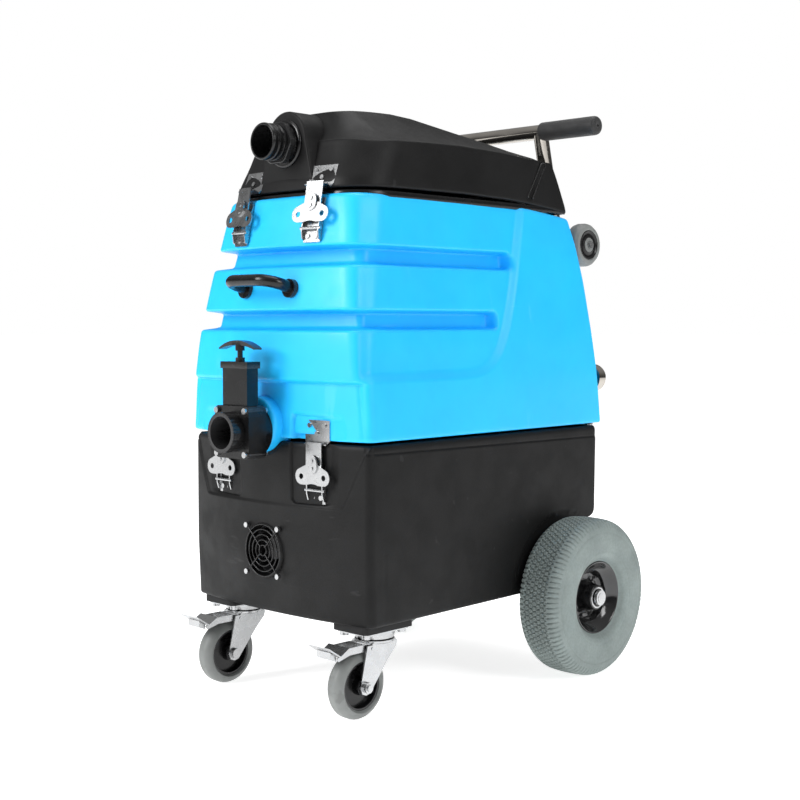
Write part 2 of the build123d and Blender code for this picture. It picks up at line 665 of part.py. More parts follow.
# ================= keepers and screws =================
def build_fastener_groups():
    base_spots = [latch_place(BASE_LATCH, side) for side in (-1, 1)]
    tank_spots = [latch_place(TANK_LATCH, side) for side in (-1, 1)]
    save("tank_keepers", *[spot * latch_keeper(BASE_LIP) - tank_shell - base_shell for spot in base_spots])
    tank_screws = [spot * piece for spot in base_spots for piece in keeper_screws()]
    tank_screws += [spot * piece for spot in tank_spots for piece in latch_rivets()]
    save("tank_screws", *tank_screws, *build_valve_bolts())
    base_fasteners = [spot * piece for spot in base_spots for piece in latch_rivets()]
    for x, z in fan_corners():
        base_fasteners.append(rod((x, FAN_FACE_Y - 5.6, z), (x, FAN_FACE_Y - 3.4, z), 4))
    save("base_fasteners", *base_fasteners)
    lid_spots = [latch_place(LID_KEEPER, side) for side in (-1, 1)]
    keepers = [spot * latch_keeper(LID_LIP) - lid_outer for spot in lid_spots]
    screws = [spot * piece for spot in lid_spots for piece in keeper_screws()]
    save("lid_keepers", *keepers, *screws)


# ================= lid =================
def lid_solid(inset):
    """Dome shape drawn in by a wall thickness."""
    low = housing(LID_LEVELS, inset, inset, inset)
    skirt_inset = SKIRT_STEP + inset
    skirt = plan(LID_LEVELS[0], skirt_inset, skirt_inset, skirt_inset)
    low += Pos(0, 0, SKIRT_Z - LID_BOTTOM) * extrude(skirt, 8)
    roof = housing(ROOF_LEVELS, inset, inset, inset)
    profile = [(-480, SHOULDER_Z - 30)] + ROOF_LINE + [(60, SHOULDER_Z - 30)]
    cap = roof & side_prism([(y, z - inset) for y, z in profile], 200)
    boss = rod((0, BOSS_Y + inset, BOSS_ARCH_Z), (0, -360, BOSS_ARCH_Z), BOSS_TOP_HALF - inset)
    flank = make_face(Polyline((BOSS_TOP_HALF - inset, BOSS_ARCH_Z), (BOSS_FOOT_HALF - inset, BOSS_FOOT_Z),
                               (inset - BOSS_FOOT_HALF, BOSS_FOOT_Z), (inset - BOSS_TOP_HALF, BOSS_ARCH_Z),
                               close=True))
    boss += Pos(0, -360, 0) * extrude(Plane.XZ * flank, -360 - BOSS_Y - inset)
    return low + cap + boss


def build_lid():
    outer = lid_solid(0.0)
    shell = outer - lid_solid(WALL)
    shell -= rod((0, -470, PORT_Z), (0, -400, PORT_Z), PORT_BORE_R + 2.5)
    return outer, shell


lid_outer, lid_shell = build_lid()
save("lid_shell", lid_shell)
build_fastener_groups()


def build_port():
    y = PORT_FRONT_Y
    profile = [(0, PORT_BORE_R), (0, 26.5), (3, PORT_R), (9, PORT_R), (11, 26.6), (14, 26.6), (15, PORT_R),
               (20, PORT_R), (22, 26.6), (24, 26.6), (28, 30), (34, 30), (36, 33), (43.5, 33), (43.5, 36.5),
               (48, 36.5), (48, PORT_BORE_R + 2.4), (66, PORT_BORE_R + 2.4), (66, PORT_BORE_R)]
    return turned(profile, 0, y, PORT_Z, "Y")


save("hose_port", build_port())


# ================= rear handle =================
def build_upright():
    bends = [(UPRIGHT_X, BAR_Y, BAR_Z), (UPRIGHT_X, TRANSPORT_Y - 2, 705), (UPRIGHT_X, 118, 520)]
    route = FilletPolyline(*bends, radius=80)
    start = Plane(origin=route @ 0, z_dir=route % 0)
    upright = sweep(start * (Circle(TUBE_R) - Circle(TUBE_BORE_R)), path=route)
    for y, z in ((70, 650), (80, 540)):
        upright += block(UPRIGHT_X - 16, UPRIGHT_X + 16, y - 25, y + 34, z, z + 12)
    upright -= rod((60, BAR_Y, BAR_Z), (140, BAR_Y, BAR_Z), TUBE_R)
    upright -= rod((60, TRANSPORT_Y, TRANSPORT_Z), (140, TRANSPORT_Y, TRANSPORT_Z), 6.05)
    return upright - tank_outer


def build_grip(upright):
    grip = rod((GRIP_START, BAR_Y, BAR_Z), (GRIP_END, BAR_Y, BAR_Z), GRIP_R)
    grip = fillet(grip.edges().filter_by(GeomType.CIRCLE), 2.5)
    return grip - rod((GRIP_START - 1, BAR_Y, BAR_Z), (GRIP_END - 4, BAR_Y, BAR_Z), TUBE_R + 0.05) - upright


upright = build_upright()
crossbar = rod((-GRIP_END + 5, BAR_Y, BAR_Z), (GRIP_END - 5, BAR_Y, BAR_Z), TUBE_R, TUBE_BORE_R)
save("handle_frame", crossbar, *both(upright))
save("handle_grips", *both(build_grip(upright)))
save("transport_axle", rod((-172, TRANSPORT_Y, TRANSPORT_Z), (172, TRANSPORT_Y, TRANSPORT_Z), 6.0))


def build_transport_wheel():
    half = TRANSPORT_WIDTH / 2
    rim = [(-half + 2, 24), (half - 2, 24), (half, 27), (half - 1, 32), (half - 6, 36), (5, TRANSPORT_R),
           (-5, TRANSPORT_R), (-half + 6, 36), (-half + 1, 32), (-half, 27)]
    tread = turned(rim, TRANSPORT_X, TRANSPORT_Y, TRANSPORT_Z)
    hub = turned([(-half, 6.06), (-half, 12), (-half + 3, 23.9), (half - 3, 23.9), (half - 5, 14), (half, 12),
                  (half, 6.06)], TRANSPORT_X, TRANSPORT_Y, TRANSPORT_Z)
    return tread, hub


transport_wheel = build_transport_wheel()
save("transport_wheel_right", *transport_wheel)
save("transport_wheel_left", *[mirrored(piece) for piece in transport_wheel])


# ================= rear hinges =================
def knuckles(starts):
    tubes = [rod((x, HINGE_Y, HINGE_Z), (x + 13.6, HINGE_Y, HINGE_Z), 5, 2.55) for x in starts]
    return tubes


def build_hinges():
    base_leaf = block(HINGE_X, HINGE_X + 70, 95, 97.5, 388, HINGE_Z - 1.5)
    tank_leaf = block(HINGE_X, HINGE_X + 70, 95, 104, HINGE_Z + 4, 446)
    for start in (HINGE_X, HINGE_X + 28, HINGE_X + 56):
        base_leaf += block(start, start + 13.6, 95, HINGE_Y, HINGE_Z - 5, HINGE_Z - 3)
    for start in (HINGE_X + 14, HINGE_X + 42):
        tank_leaf += block(start, start + 13.6, 100, HINGE_Y, HINGE_Z + 3, HINGE_Z + 5)
    for tube in knuckles((HINGE_X, HINGE_X + 28, HINGE_X + 56)):
        base_leaf += tube
    for tube in knuckles((HINGE_X + 14, HINGE_X + 42)):
        tank_leaf += tube
    hole = rod((HINGE_X - 5, HINGE_Y, HINGE_Z), (HINGE_X + 75, HINGE_Y, HINGE_Z), 2.55)
    pin = rod((HINGE_X - 2, HINGE_Y, HINGE_Z), (HINGE_X + 72, HINGE_Y, HINGE_Z), 2.5)
    return base_leaf - hole, pin, tank_leaf - hole - tank_outer


base_leaf, hinge_pin, tank_leaf = build_hinges()
save("base_hinges", *both(base_leaf), *both(hinge_pin))
save("tank_hinges", *both(tank_leaf))


# ================= rear panel =================
def build_panel():
    plate = block(-110, 110, PANEL_Y, PANEL_Y + 3, 275, 385)
    plate = fillet(plate.edges().filter_by(Axis.Y), 8)
    for x in (-35, 35):
        plate -= block(x - 15, x + 15, 90, 100, 286, 317)
    for x in SWITCH_X:
        plate -= block(x - 10.5, x + 10.5, 90, 110, SWITCH_Z - 14, SWITCH_Z + 14)
    return plate - rod((85, 90, 300), (85, 110, 300), 7)


def build_switch(x):
    rocker = rod((x - 10, PANEL_Y + 1, SWITCH_Z), (x + 10, PANEL_Y + 1, SWITCH_Z), 13.4)
    rocker &= block(x - 10, x + 10, PANEL_Y - 9, PANEL_Y + 8, SWITCH_Z - 20, SWITCH_Z + 20)
    upper = Pos(x, PANEL_Y + 1, SWITCH_Z) * Rot(-8, 0, 0) * block(-12, 12, 4, 30, 0, 30)
    lower = Pos(x, PANEL_Y + 1, SWITCH_Z) * Rot(8, 0, 0) * block(-12, 12, 4, 30, -30, 0)
    return rocker - upper - lower


def build_inlet(x):
    body = block(x - 14.5, x + 14.5, PANEL_Y - 10, PANEL_Y + 7, 287, 316)
    body -= block(x - 11, x + 11, PANEL_Y - 7, PANEL_Y + 8, 291, 312)
    for pin_x, pin_z in ((x - 5, 299), (x + 5, 299), (x, 306)):
        body += block(pin_x - 1, pin_x + 1, PANEL_Y - 8, PANEL_Y + 4, pin_z - 2.5, pin_z + 2.5)
    return body


save("control_panel", build_panel())
for name, x in zip(("left", "middle", "right"), SWITCH_X):
    save(f"switch_{name}", build_switch(x))
save("power_inlets", build_inlet(-35), build_inlet(35))
coupler = turned([(-12, 3), (-12, 6.5), (3, 6.5), (3, 10), (11, 10), (11, 6), (34, 6), (34, 3)],
                 85, PANEL_Y, 300, "Y")
save("solution_coupler", coupler)


# ================= standpipe and float =================
def build_float():
    pipe = rod((60, -90, TANK_BOTTOM + WALL), (60, -90, 735), 25, 22)
    cage = rod((60, -90, 735), (60, -90, 739), 30, 22)
    for turn in range(4):
        bar = block(24, 29, -2.5, 2.5, 739, 790)
        cage += Pos(60, -90, 0) * Rot(0, 0, 90 * turn) * bar
    cage += rod((60, -90, 786), (60, -90, 790), 30)
    ball = Pos(60, -90, 762) * Sphere(19)
    return pipe + cage, ball


save("float_shutoff", *build_float())
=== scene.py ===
import json
import math

import bmesh
import bpy
import numpy as np
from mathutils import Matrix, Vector


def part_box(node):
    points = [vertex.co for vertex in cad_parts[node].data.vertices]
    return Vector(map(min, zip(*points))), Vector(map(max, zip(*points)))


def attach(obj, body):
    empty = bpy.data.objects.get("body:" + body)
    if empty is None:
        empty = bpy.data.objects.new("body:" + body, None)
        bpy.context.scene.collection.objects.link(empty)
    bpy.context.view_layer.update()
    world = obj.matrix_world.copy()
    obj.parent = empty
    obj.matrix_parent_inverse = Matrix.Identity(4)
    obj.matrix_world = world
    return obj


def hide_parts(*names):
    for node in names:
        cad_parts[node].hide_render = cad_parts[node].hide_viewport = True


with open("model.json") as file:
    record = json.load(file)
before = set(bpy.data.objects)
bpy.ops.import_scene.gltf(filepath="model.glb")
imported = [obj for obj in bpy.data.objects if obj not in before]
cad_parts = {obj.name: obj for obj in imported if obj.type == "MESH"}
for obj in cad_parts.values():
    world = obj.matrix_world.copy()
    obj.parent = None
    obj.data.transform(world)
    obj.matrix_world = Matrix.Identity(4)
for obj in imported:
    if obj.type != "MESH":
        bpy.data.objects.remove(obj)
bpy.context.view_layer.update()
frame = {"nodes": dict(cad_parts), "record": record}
nodes = frame["nodes"]

# Lengths below are in millimetres with Y = 0 over the rear axle, as in the CAD source.
# place() turns them into metres in the row frame.
AXLE_TO_MIDDLE = 220.0

# z, half width front, half width rear, front, rear, front corner radius, rear corner radius, bow of the front
BASE_LEVELS = [
    (142, 201, 186, -484, 95, 14, 6, 19),
    (238, 201, 188, -495, 95, 14, 6, 27),
    (406, 201, 190, -500, 95, 14, 6, 33),
]
TANK_LEVELS = [
    (411, 206, 194, -500, 104, 26, 7, 24),
    (490, 200, 196, -501, 92, 30, 8, 22),
    (560, 195, 193, -496, 81, 40, 10, 20),
    (655, 182, 183, -481, 69, 50, 12, 18),
    (735, 170, 168, -464, 58, 56, 12, 18),
    (766, 163, 160, -458, 53, 62, 12, 18),
]
LID_LEVELS = [
    (770, 158, 157, -453, 57, 70, 14, 14),
    (786, 157, 156, -451, 54, 70, 14, 14),
    (854, 150, 150, -424, 20, 78, 12, 8),
]
# The dome's ridge: its plan as a level, and its height along Y.
RIDGE_LEVEL = (0, 62, 124, -398, 10, 38, 12, 6)
RIDGE_LINE = [(-480, 899), (-425, 901), (-385, 904), (-345, 906.3), (-300, 906.6), (-260, 903), (-171, 887.7),
              (-108, 877.3), (-53, 867.3), (17, 857.2), (60, 852)]
# How far the seam between tank and lid stands above its mean height, along Y.
SEAM_LINE = [(-460, 6), (-314, 8), (-213, 8.5), (-107, 6.5), (-50, 3), (8, -2), (44, -6), (60, -7)]
# Height of the lid's shoulder, where wall and roof meet, along Y.
SHOULDER_LINE = [(-430, 857), (-395, 853), (-340, 854.5), (-288, 857), (-218, 859), (-121, 857.5), (-16, 852),
                 (60, 849)]
# Edge between the banded and the plain part of the tank's side, as (Y, Z).
SWOOSH = [(-58, 800), (-70, 766), (-94, 708), (-114, 650), (-134, 595), (-158, 545), (-180, 518), (-210, 502),
          (-250, 496.5), (-340, 495.5), (-460, 495.5), (-560, 495.5)]
# The two grooves round the tank: bottom, top and the Y where they end.
GROOVES = [(666, 695, -117), (571.5, 600, -165)]
LATCH_X = 105.0
LATCH_BACK_Y = -480.0
LATCH_HALF = 46.0
FAN_Z = 238.0
FAN_HOLE_R = 40.5
TYRE_R = 130.0
TYRE_X = 231.0
RIM_R = 60.05
TREAD_BLOCKS = 96
FLAT_NORMAL = 0.3


def place(points):
    """Millimetres over the axle to metres in the row frame."""
    out = np.array(points, float).reshape(-1, 3)
    out[:, 1] += AXLE_TO_MIDDLE
    return out / 1000.0


def step(low, high, value):
    """Smooth rise from 0 to 1 as value goes from low to high."""
    t = np.clip((value - low) / (high - low), 0, 1)
    return t * t * (3 - 2 * t)


# ---------------------------------------------------------------- materials
class Look:
    """Node material built up from a Principled shader: colour, roughness and bump all come from noise."""

    def __init__(self, name, color, rough, metal=0.0, coat=0.0, sheen=0.0, specular=0.5):
        self.mat = bpy.data.materials.new(name)
        self.mat.use_nodes = True
        self.tree = self.mat.node_tree
        self.shader = self.tree.nodes["Principled BSDF"]
        self.shader.inputs["Metallic"].default_value = metal
        self.shader.inputs["Coat Weight"].default_value = coat
        self.shader.inputs["Coat Roughness"].default_value = 0.12
        self.shader.inputs["Sheen Weight"].default_value = sheen
        self.shader.inputs["Specular IOR Level"].default_value = specular
        self.where = self.add("ShaderNodeTexCoord").outputs["Object"]
        rgb = self.add("ShaderNodeRGB")
        rgb.outputs[0].default_value = (*color, 1)
        self.color = rgb.outputs[0]
        value = self.add("ShaderNodeValue")
        value.outputs[0].default_value = rough
        self.rough = value.outputs[0]
        self.normal = None

    def add(self, kind, **values):
        node = self.tree.nodes.new(kind)
        for key, value in values.items():
            setattr(node, key, value)
        return node

    def link(self, a, b):
        self.tree.links.new(a, b)

    def noise(self, scale, detail=3.0, stretch=(1, 1, 1), turn=(0, 0, 0)):
        mapping = self.add("ShaderNodeMapping")
        mapping.inputs["Scale"].default_value = stretch
        mapping.inputs["Rotation"].default_value = turn
        self.link(self.where, mapping.inputs["Vector"])
        noise = self.add("ShaderNodeTexNoise")
        noise.inputs["Scale"].default_value = scale
        noise.inputs["Detail"].default_value = detail
        self.link(mapping.outputs[0], noise.inputs["Vector"])
        return noise.outputs["Fac"]

    def cells(self, scale):
        cells = self.add("ShaderNodeTexVoronoi")
        cells.inputs["Scale"].default_value = scale
        self.link(self.where, cells.inputs["Vector"])
        return cells.outputs["Distance"]

    def ramp(self, value, low, high, to_low=0.0, to_high=1.0):
        node = self.add("ShaderNodeMapRange", interpolation_type="SMOOTHSTEP")
        for index, number in zip((1, 2, 3, 4), (low, high, to_low, to_high)):
            node.inputs[index].default_value = number
        self.link(value, node.inputs[0])
        return node.outputs[0]

    def times(self, a, b):
        node = self.add("ShaderNodeMath", operation="MULTIPLY")
        self.link(a, node.inputs[0])
        if hasattr(b, "links"):
            self.link(b, node.inputs[1])
        else:
            node.inputs[1].default_value = b
        return node.outputs[0]

    def blend(self, mask, color):
        """Mix a colour in where the mask is 1."""
        mix = self.add("ShaderNodeMix", data_type="RGBA")
        self.link(mask, mix.inputs[0])
        self.link(self.color, mix.inputs[6])
        mix.inputs[7].default_value = (*color, 1)
        self.color = mix.outputs[2]

    def shade(self, mask, darkest, lightest):
        """Multiply the colour by a factor that follows the mask."""
        factor = self.ramp(mask, 0.3, 0.7, darkest, lightest)
        mix = self.add("ShaderNodeVectorMath", operation="SCALE")
        self.link(self.color, mix.inputs[0])
        self.link(factor, mix.inputs["Scale"])
        self.color = mix.outputs[0]

    def roughen(self, mask, rough):
        mix = self.add("ShaderNodeMix")
        self.link(mask, mix.inputs[0])
        self.link(self.rough, mix.inputs[2])
        mix.inputs[3].default_value = rough
        self.rough = mix.outputs[0]

    def bump(self, height, depth_mm, strength=1.0):
        node = self.add("ShaderNodeBump")
        node.inputs["Strength"].default_value = strength
        node.inputs["Distance"].default_value = depth_mm / 1000.0
        self.link(height, node.inputs["Height"])
        if self.normal is not None:
            self.link(self.normal, node.inputs["Normal"])
        self.normal = node.outputs[0]

    def wear(self, color, low=0.52, high=0.6, strength=0.6):
        """Lighter colour where edges stand out."""
        point = self.add("ShaderNodeNewGeometry").outputs["Pointiness"]
        self.blend(self.times(self.ramp(point, low, high), strength), color)

    def paint_hollow_shade(self, color, low=0.42, high=0.49, strength=0.8):
        """Painted shade: darker colour where the surface is hollow."""
        point = self.add("ShaderNodeNewGeometry").outputs["Pointiness"]
        self.blend(self.times(self.ramp(point, low, high, 1, 0), strength), color)

    def done(self):
        self.link(self.color, self.shader.inputs["Base Color"])
        self.link(self.rough, self.shader.inputs["Roughness"])
        if self.normal is not None:
            self.link(self.normal, self.shader.inputs["Normal"])
        return self.mat


def blue_look():
    look = Look("blue_polyethylene", (0.012, 0.49, 0.98), 0.40, coat=0.05, specular=0.35)
    look.shade(look.noise(7, 4), 0.95, 1.03)
    look.shade(look.noise(55, 3), 0.985, 1.012)
    streak = look.ramp(look.noise(26, 6, (1, 1, 0.16), (0.3, 0.1, 0)), 0.63, 0.70)
    patch = look.ramp(look.noise(4.5, 2), 0.50, 0.62)
    look.blend(look.times(look.times(streak, patch), 0.12), (0.30, 0.80, 1.0))
    scuff = look.ramp(look.noise(34, 7, (0.14, 0.14, 1.3)), 0.66, 0.71)
    look.blend(look.times(look.times(scuff, patch), 0.12), (0.26, 0.76, 1.0))
    look.roughen(look.ramp(look.noise(30, 4), 0.35, 0.7, 0, 0.6), 0.55)
    look.bump(look.noise(13, 2), 0.9, 0.22)
    look.bump(look.noise(620, 3), 0.05, 0.35)
    return look.done()


def grained_look():
    look = Look("black_grained", (0.0046, 0.0046, 0.0047), 0.48, specular=0.20)
    look.shade(look.noise(9, 3), 0.8, 1.25)
    speckle = look.ramp(look.noise(900, 2), 0.58, 0.72)
    look.blend(look.times(speckle, 0.35), (0.018, 0.018, 0.019))
    look.roughen(look.ramp(look.noise(24, 4), 0.35, 0.7), 0.58)
    scratch = look.ramp(look.noise(60, 6, (0.12, 1.2, 1.0), (0.1, 0.4, 0.2)), 0.68, 0.73)
    look.blend(look.times(scratch, 0.2), (0.05, 0.05, 0.052))
    look.bump(look.noise(520, 3), 0.28, 0.75)
    look.bump(look.noise(16, 2), 0.7, 0.2)
    look.wear((0.022, 0.022, 0.023), 0.53, 0.62, 0.5)
    return look.done()


def gloss_look():
    look = Look("black_gloss", (0.004, 0.004, 0.0043), 0.22, coat=0.04, specular=0.35)
    look.shade(look.noise(30, 3), 0.8, 1.2)
    smear = look.ramp(look.noise(45, 5, (1, 0.4, 1)), 0.45, 0.7)
    look.roughen(smear, 0.34)
    look.bump(look.noise(90, 3), 0.10, 0.25)
    look.bump(look.noise(1500, 2), 0.02, 0.3)
    look.wear((0.06, 0.06, 0.062), 0.53, 0.64, 0.5)
    return look.done()


def tyre_look():
    look = Look("grey_tyre", (0.205, 0.245, 0.236), 0.60, sheen=0.05)
    look.shade(look.noise(18, 5), 0.88, 1.1)
    look.shade(look.noise(260, 3), 0.94, 1.06)
    look.roughen(look.ramp(look.noise(35, 3), 0.4, 0.65), 0.74)
    dust = look.ramp(look.noise(70, 6), 0.58, 0.75)
    look.blend(look.times(dust, 0.35), (0.24, 0.27, 0.26))
    # Painted shade in the tread's hollows.
    look.paint_hollow_shade((0.030, 0.036, 0.034))
    look.bump(look.noise(700, 2), 0.08, 0.4)
    return look.done()


def caster_look():
    look = Look("grey_caster_rubber", (0.185, 0.195, 0.190), 0.44)
    look.shade(look.noise(30, 4), 0.9, 1.1)
    dirt = look.ramp(look.noise(60, 6), 0.55, 0.72)
    look.blend(look.times(dirt, 0.35), (0.05, 0.05, 0.048))
    look.roughen(look.ramp(look.noise(44, 3), 0.4, 0.65), 0.6)
    look.bump(look.noise(600, 2), 0.05, 0.35)
    return look.done()


def rim_look():
    look = Look("black_rim_paint", (0.006, 0.006, 0.0065), 0.14, coat=0.5)
    look.shade(look.noise(30, 3), 0.8, 1.2)
    look.roughen(look.ramp(look.noise(60, 4), 0.5, 0.7), 0.28)
    look.bump(look.noise(110, 3), 0.10, 0.3)
    look.wear((0.12, 0.12, 0.12), 0.55, 0.68, 0.5)
    return look.done()


def zinc_look():
    look = Look("bright_zinc", (0.46, 0.465, 0.47), 0.26, metal=1.0)
    look.shade(look.noise(14, 3), 0.9, 1.05)
    look.roughen(look.ramp(look.noise(70, 4), 0.4, 0.7, 0, 0.6), 0.36)
    look.bump(look.noise(420, 2, (1, 1, 0.08)), 0.012, 0.3)
    spot = look.ramp(look.noise(190, 4), 0.68, 0.74)
    look.blend(look.times(spot, 0.25), (0.42, 0.41, 0.38))
    return look.done()


def chrome_look():
    look = Look("polished_tube", (0.47, 0.44, 0.40), 0.11, metal=1.0)
    look.shade(look.noise(25, 3), 0.9, 1.05)
    look.roughen(look.ramp(look.noise(90, 5, (0.15, 1, 1)), 0.45, 0.7), 0.20)
    look.bump(look.noise(320, 2, (0.1, 1, 1)), 0.015, 0.3)
    return look.done()


def grip_look():
    look = Look("grip_foam", (0.007, 0.007, 0.0075), 0.62, sheen=0.12)
    look.shade(look.noise(60, 3), 0.85, 1.2)
    look.roughen(look.ramp(look.noise(40, 3), 0.4, 0.7), 0.74)
    look.bump(look.cells(900), 0.12, 0.45)
    look.bump(look.noise(45, 2), 0.25, 0.3)
    return look.done()


def alloy_look():
    look = Look("cast_alloy", (0.42, 0.43, 0.44), 0.42, metal=1.0)
    look.shade(look.noise(40, 4), 0.8, 1.1)
    look.roughen(look.ramp(look.noise(70, 4), 0.4, 0.7), 0.6)
    look.bump(look.noise(300, 4), 0.2, 0.5)
    return look.done()


def brass_look():
    look = Look("machined_brass", (0.72, 0.50, 0.20), 0.24, metal=1.0)
    look.shade(look.noise(60, 4), 0.8, 1.1)
    look.roughen(look.ramp(look.noise(120, 4), 0.4, 0.7), 0.42)
    look.bump(look.noise(400, 2, (0.05, 1, 1)), 0.02, 0.4)
    return look.done()


def floor_look():
    look = Look("pale_floor", (0.94, 0.94, 0.94), 0.7, specular=0.1)
    look.shade(look.noise(1.5, 3), 0.99, 1.0)
    look.bump(look.noise(30, 3), 0.2, 0.1)
    look.shader.inputs["Emission Color"].default_value = (1, 1, 1, 1)
    look.shader.inputs["Emission Strength"].default_value = 0.76
    return look.done()


BLUE = blue_look()
GRAINED = grained_look()
GLOSS = gloss_look()
TYRE = tyre_look()
CASTER = caster_look()
RIM = rim_look()
ZINC = zinc_look()
CHROME = chrome_look()
GRIP = grip_look()
ALLOY = alloy_look()
BRASS = brass_look()


# ---------------------------------------------------------------- mesh helpers
def make_piece(name, points, faces, look, body, node=None, slot=None, sharp_deg=None):
    """Mesh object from millimetre points, riding on a body and standing for a CAD node when one is named."""
    mesh = bpy.data.meshes.new(name)
    mesh.from_pydata(place(points).tolist(), [], faces)
    made = bmesh.new()
    made.from_mesh(mesh)
    bmesh.ops.remove_doubles(made, verts=made.verts, dist=1e-6)
    bmesh.ops.dissolve_degenerate(made, dist=1e-7, edges=made.edges)
    bmesh.ops.recalc_face_normals(made, faces=made.faces)
    made.to_mesh(mesh)
    made.free()
    mesh.polygons.foreach_set("use_smooth", [True] * len(mesh.polygons))
    if sharp_deg:
        mesh.set_sharp_from_angle(angle=math.radians(sharp_deg))
    piece = bpy.data.objects.new(name, mesh)
    bpy.context.scene.collection.objects.link(piece)
    piece.data.materials.append(look)
    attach(piece, body)
    if node:
        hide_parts(node)
    return piece


def ring_faces(rings, count, start=0, looped=False):
    """Quads between consecutive rings of equal point count; looped also joins the last ring to the first."""
    faces = []
    for ring in range(rings - 1):
        low = start + ring * count
        high = low + count
        for k in range(count):
            nxt = (k + 1) % count
            faces.append((low + k, low + nxt, high + nxt, high + k))
    if looped:
        last = start + (rings - 1) * count
        faces += [(last + k, last + (k + 1) % count, start + (k + 1) % count, start + k)
                  for k in range(count)]
    return faces


def lathe(profile, centre, axis, count):
    """Points of a turned shape, ring by ring; profile is (distance along the axis, radius)."""
    points = []
    angles = np.linspace(0, 2 * math.pi, count, endpoint=False)
    for along, radius in profile:
        c, s = radius * np.cos(angles), radius * np.sin(angles)
        a = np.full(count, float(along))
        columns = {"X": (a, c, s), "Y": (c, a, s)}[axis]
        points.append(np.stack(columns, 1) + np.array(centre, float))
    return np.concatenate(points)


def turned_piece(name, profile, centre, look, body, axis, count, **kw):
    """Solid of revolution as a piece, from a profile that runs all the way round its section."""
    points = lathe(profile, centre, axis, count)
    faces = ring_faces(len(profile), count, looped=True)
    return make_piece(name, points, faces, look, body, **kw)


def rounded(profile, radius=1.0, steps=4):
    """Round the corners of an open profile of (a, r) points."""
    out = [profile[0]]
    for before, corner, after in zip(profile, profile[1:], profile[2:]):
        p, q, s = (np.array(v[:2], float) for v in (before, corner, after))
        cut = min(radius, np.linalg.norm(p - q) * 0.45, np.linalg.norm(s - q) * 0.45)
        a = q + (p - q) / max(np.linalg.norm(p - q), 1e-9) * cut
        b = q + (s - q) / max(np.linalg.norm(s - q), 1e-9) * cut
        for t in np.linspace(0, 1, steps):
            out.append(tuple((1 - t) ** 2 * a + 2 * t * (1 - t) * q + t * t * b))
    out.append(profile[-1])
    return out


# ---------------------------------------------------------------- housings
COUNTS = (84, 28, 190, 10, 30)
SIDE_MARKS = np.interp(np.linspace(0, 1, COUNTS[2], endpoint=False), [0, 0.22, 0.90, 1], [0, 0.34, 0.89, 1])


def level_at(levels, z, soft=18.0):
    """Level worked out at any height, with the changes of slope softened."""
    table = np.array(levels, float)
    reach = max(min(soft, z - table[0, 0], table[-1, 0] - z), 0.0)
    heights = z + np.linspace(-reach, reach, 9)
    values = [np.interp(heights, table[:, 0], table[:, k]).mean() for k in range(1, table.shape[1])]
    return [z] + values


def outline(level, y_rear=None):
    """Points round the plan of a housing at one height, with their outward directions."""
    _, half_front, half_rear, y_front, rear, r_front, r_rear, bow = level
    circle = (half_front ** 2 + bow ** 2) / (2 * bow)
    mid = y_front + circle
    a = np.array([half_front, y_front + bow])
    b = np.array([half_rear, rear])
    run = (b - a) / np.linalg.norm(b - a)
    if y_rear is not None:
        b = a + run * (y_rear - a[1]) / run[1]
    inward = np.array([-run[1], run[0]])
    p = a + r_front * inward - np.array([0, mid])
    dot = p @ run
    t = -dot - math.sqrt(max(dot * dot - p @ p + (circle - r_front) ** 2, 0))
    corner = a + run * t + r_front * inward
    to_corner = corner - np.array([0, mid])
    on_arc = np.array([0, mid]) + to_corner * circle / (circle - r_front)
    on_side = a + run * t
    back = (-r_rear - r_rear * inward[1]) / run[1]
    side_end = b + run * back
    rear_mid = side_end + r_rear * inward
    n_front, n_corner, _, n_rear_corner, n_rear = COUNTS
    points = []
    start, end = -math.pi / 2, math.atan2(on_arc[1] - mid, on_arc[0])
    for w in np.linspace(start, end, n_front, endpoint=False):
        points.append((circle * math.cos(w), mid + circle * math.sin(w)))
    start = math.atan2(*(on_arc - corner)[::-1])
    end = math.atan2(*(on_side - corner)[::-1])
    for w in np.linspace(start, end, n_corner, endpoint=False):
        points.append((corner[0] + r_front * math.cos(w), corner[1] + r_front * math.sin(w)))
    for w in SIDE_MARKS:
        points.append(tuple(on_side + (side_end - on_side) * w))
    start = math.atan2(*(side_end - rear_mid)[::-1])
    for w in np.linspace(start, math.pi / 2, n_rear_corner, endpoint=False):
        points.append((rear_mid[0] + r_rear * math.cos(w), rear_mid[1] + r_rear * math.sin(w)))
    for w in np.linspace(rear_mid[0], 0, n_rear + 1):
        points.append((w, b[1]))
    right = np.array(points)
    left = right[1:-1][::-1] * np.array([-1, 1])
    ring = np.concatenate([right, left])
    along = np.roll(ring, -1, 0) - np.roll(ring, 1, 0)
    normal = np.stack([along[:, 1], -along[:, 0]], 1)
    return ring, normal / np.linalg.norm(normal, axis=1)[:, None]


RING = 2 * (sum(COUNTS) + 1) - 2


def cap_faces(start, count, centre):
    return [(start + k, start + (k + 1) % count, centre) for k in range(count)]


def box_distance(u, v, u0, u1, v0, v1, radius):
    """Signed distance to a rounded rectangle, negative inside."""
    du = np.abs(u - (u0 + u1) / 2) - (u1 - u0) / 2 + radius
    dv = np.abs(v - (v0 + v1) / 2) - (v1 - v0) / 2 + radius
    outside = np.hypot(np.maximum(du, 0), np.maximum(dv, 0))
    return outside + np.minimum(np.maximum(du, dv), 0) - radius


def curve_points(points, per_span=8):
    """Catmull-Rom curve through given points."""
    p = np.array(points, float)
    p = np.vstack([2 * p[0] - p[1], p, 2 * p[-1] - p[-2]])
    out = []
    for a, b, c, d in zip(p, p[1:], p[2:], p[3:]):
        for t in np.linspace(0, 1, per_span, endpoint=False):
            out.append(0.5 * (2 * b + (c - a) * t + (2 * a - 5 * b + 4 * c - d) * t * t
                              + (3 * b - a - 3 * c + d) * t ** 3))
    out.append(p[-2])
    return np.array(out)


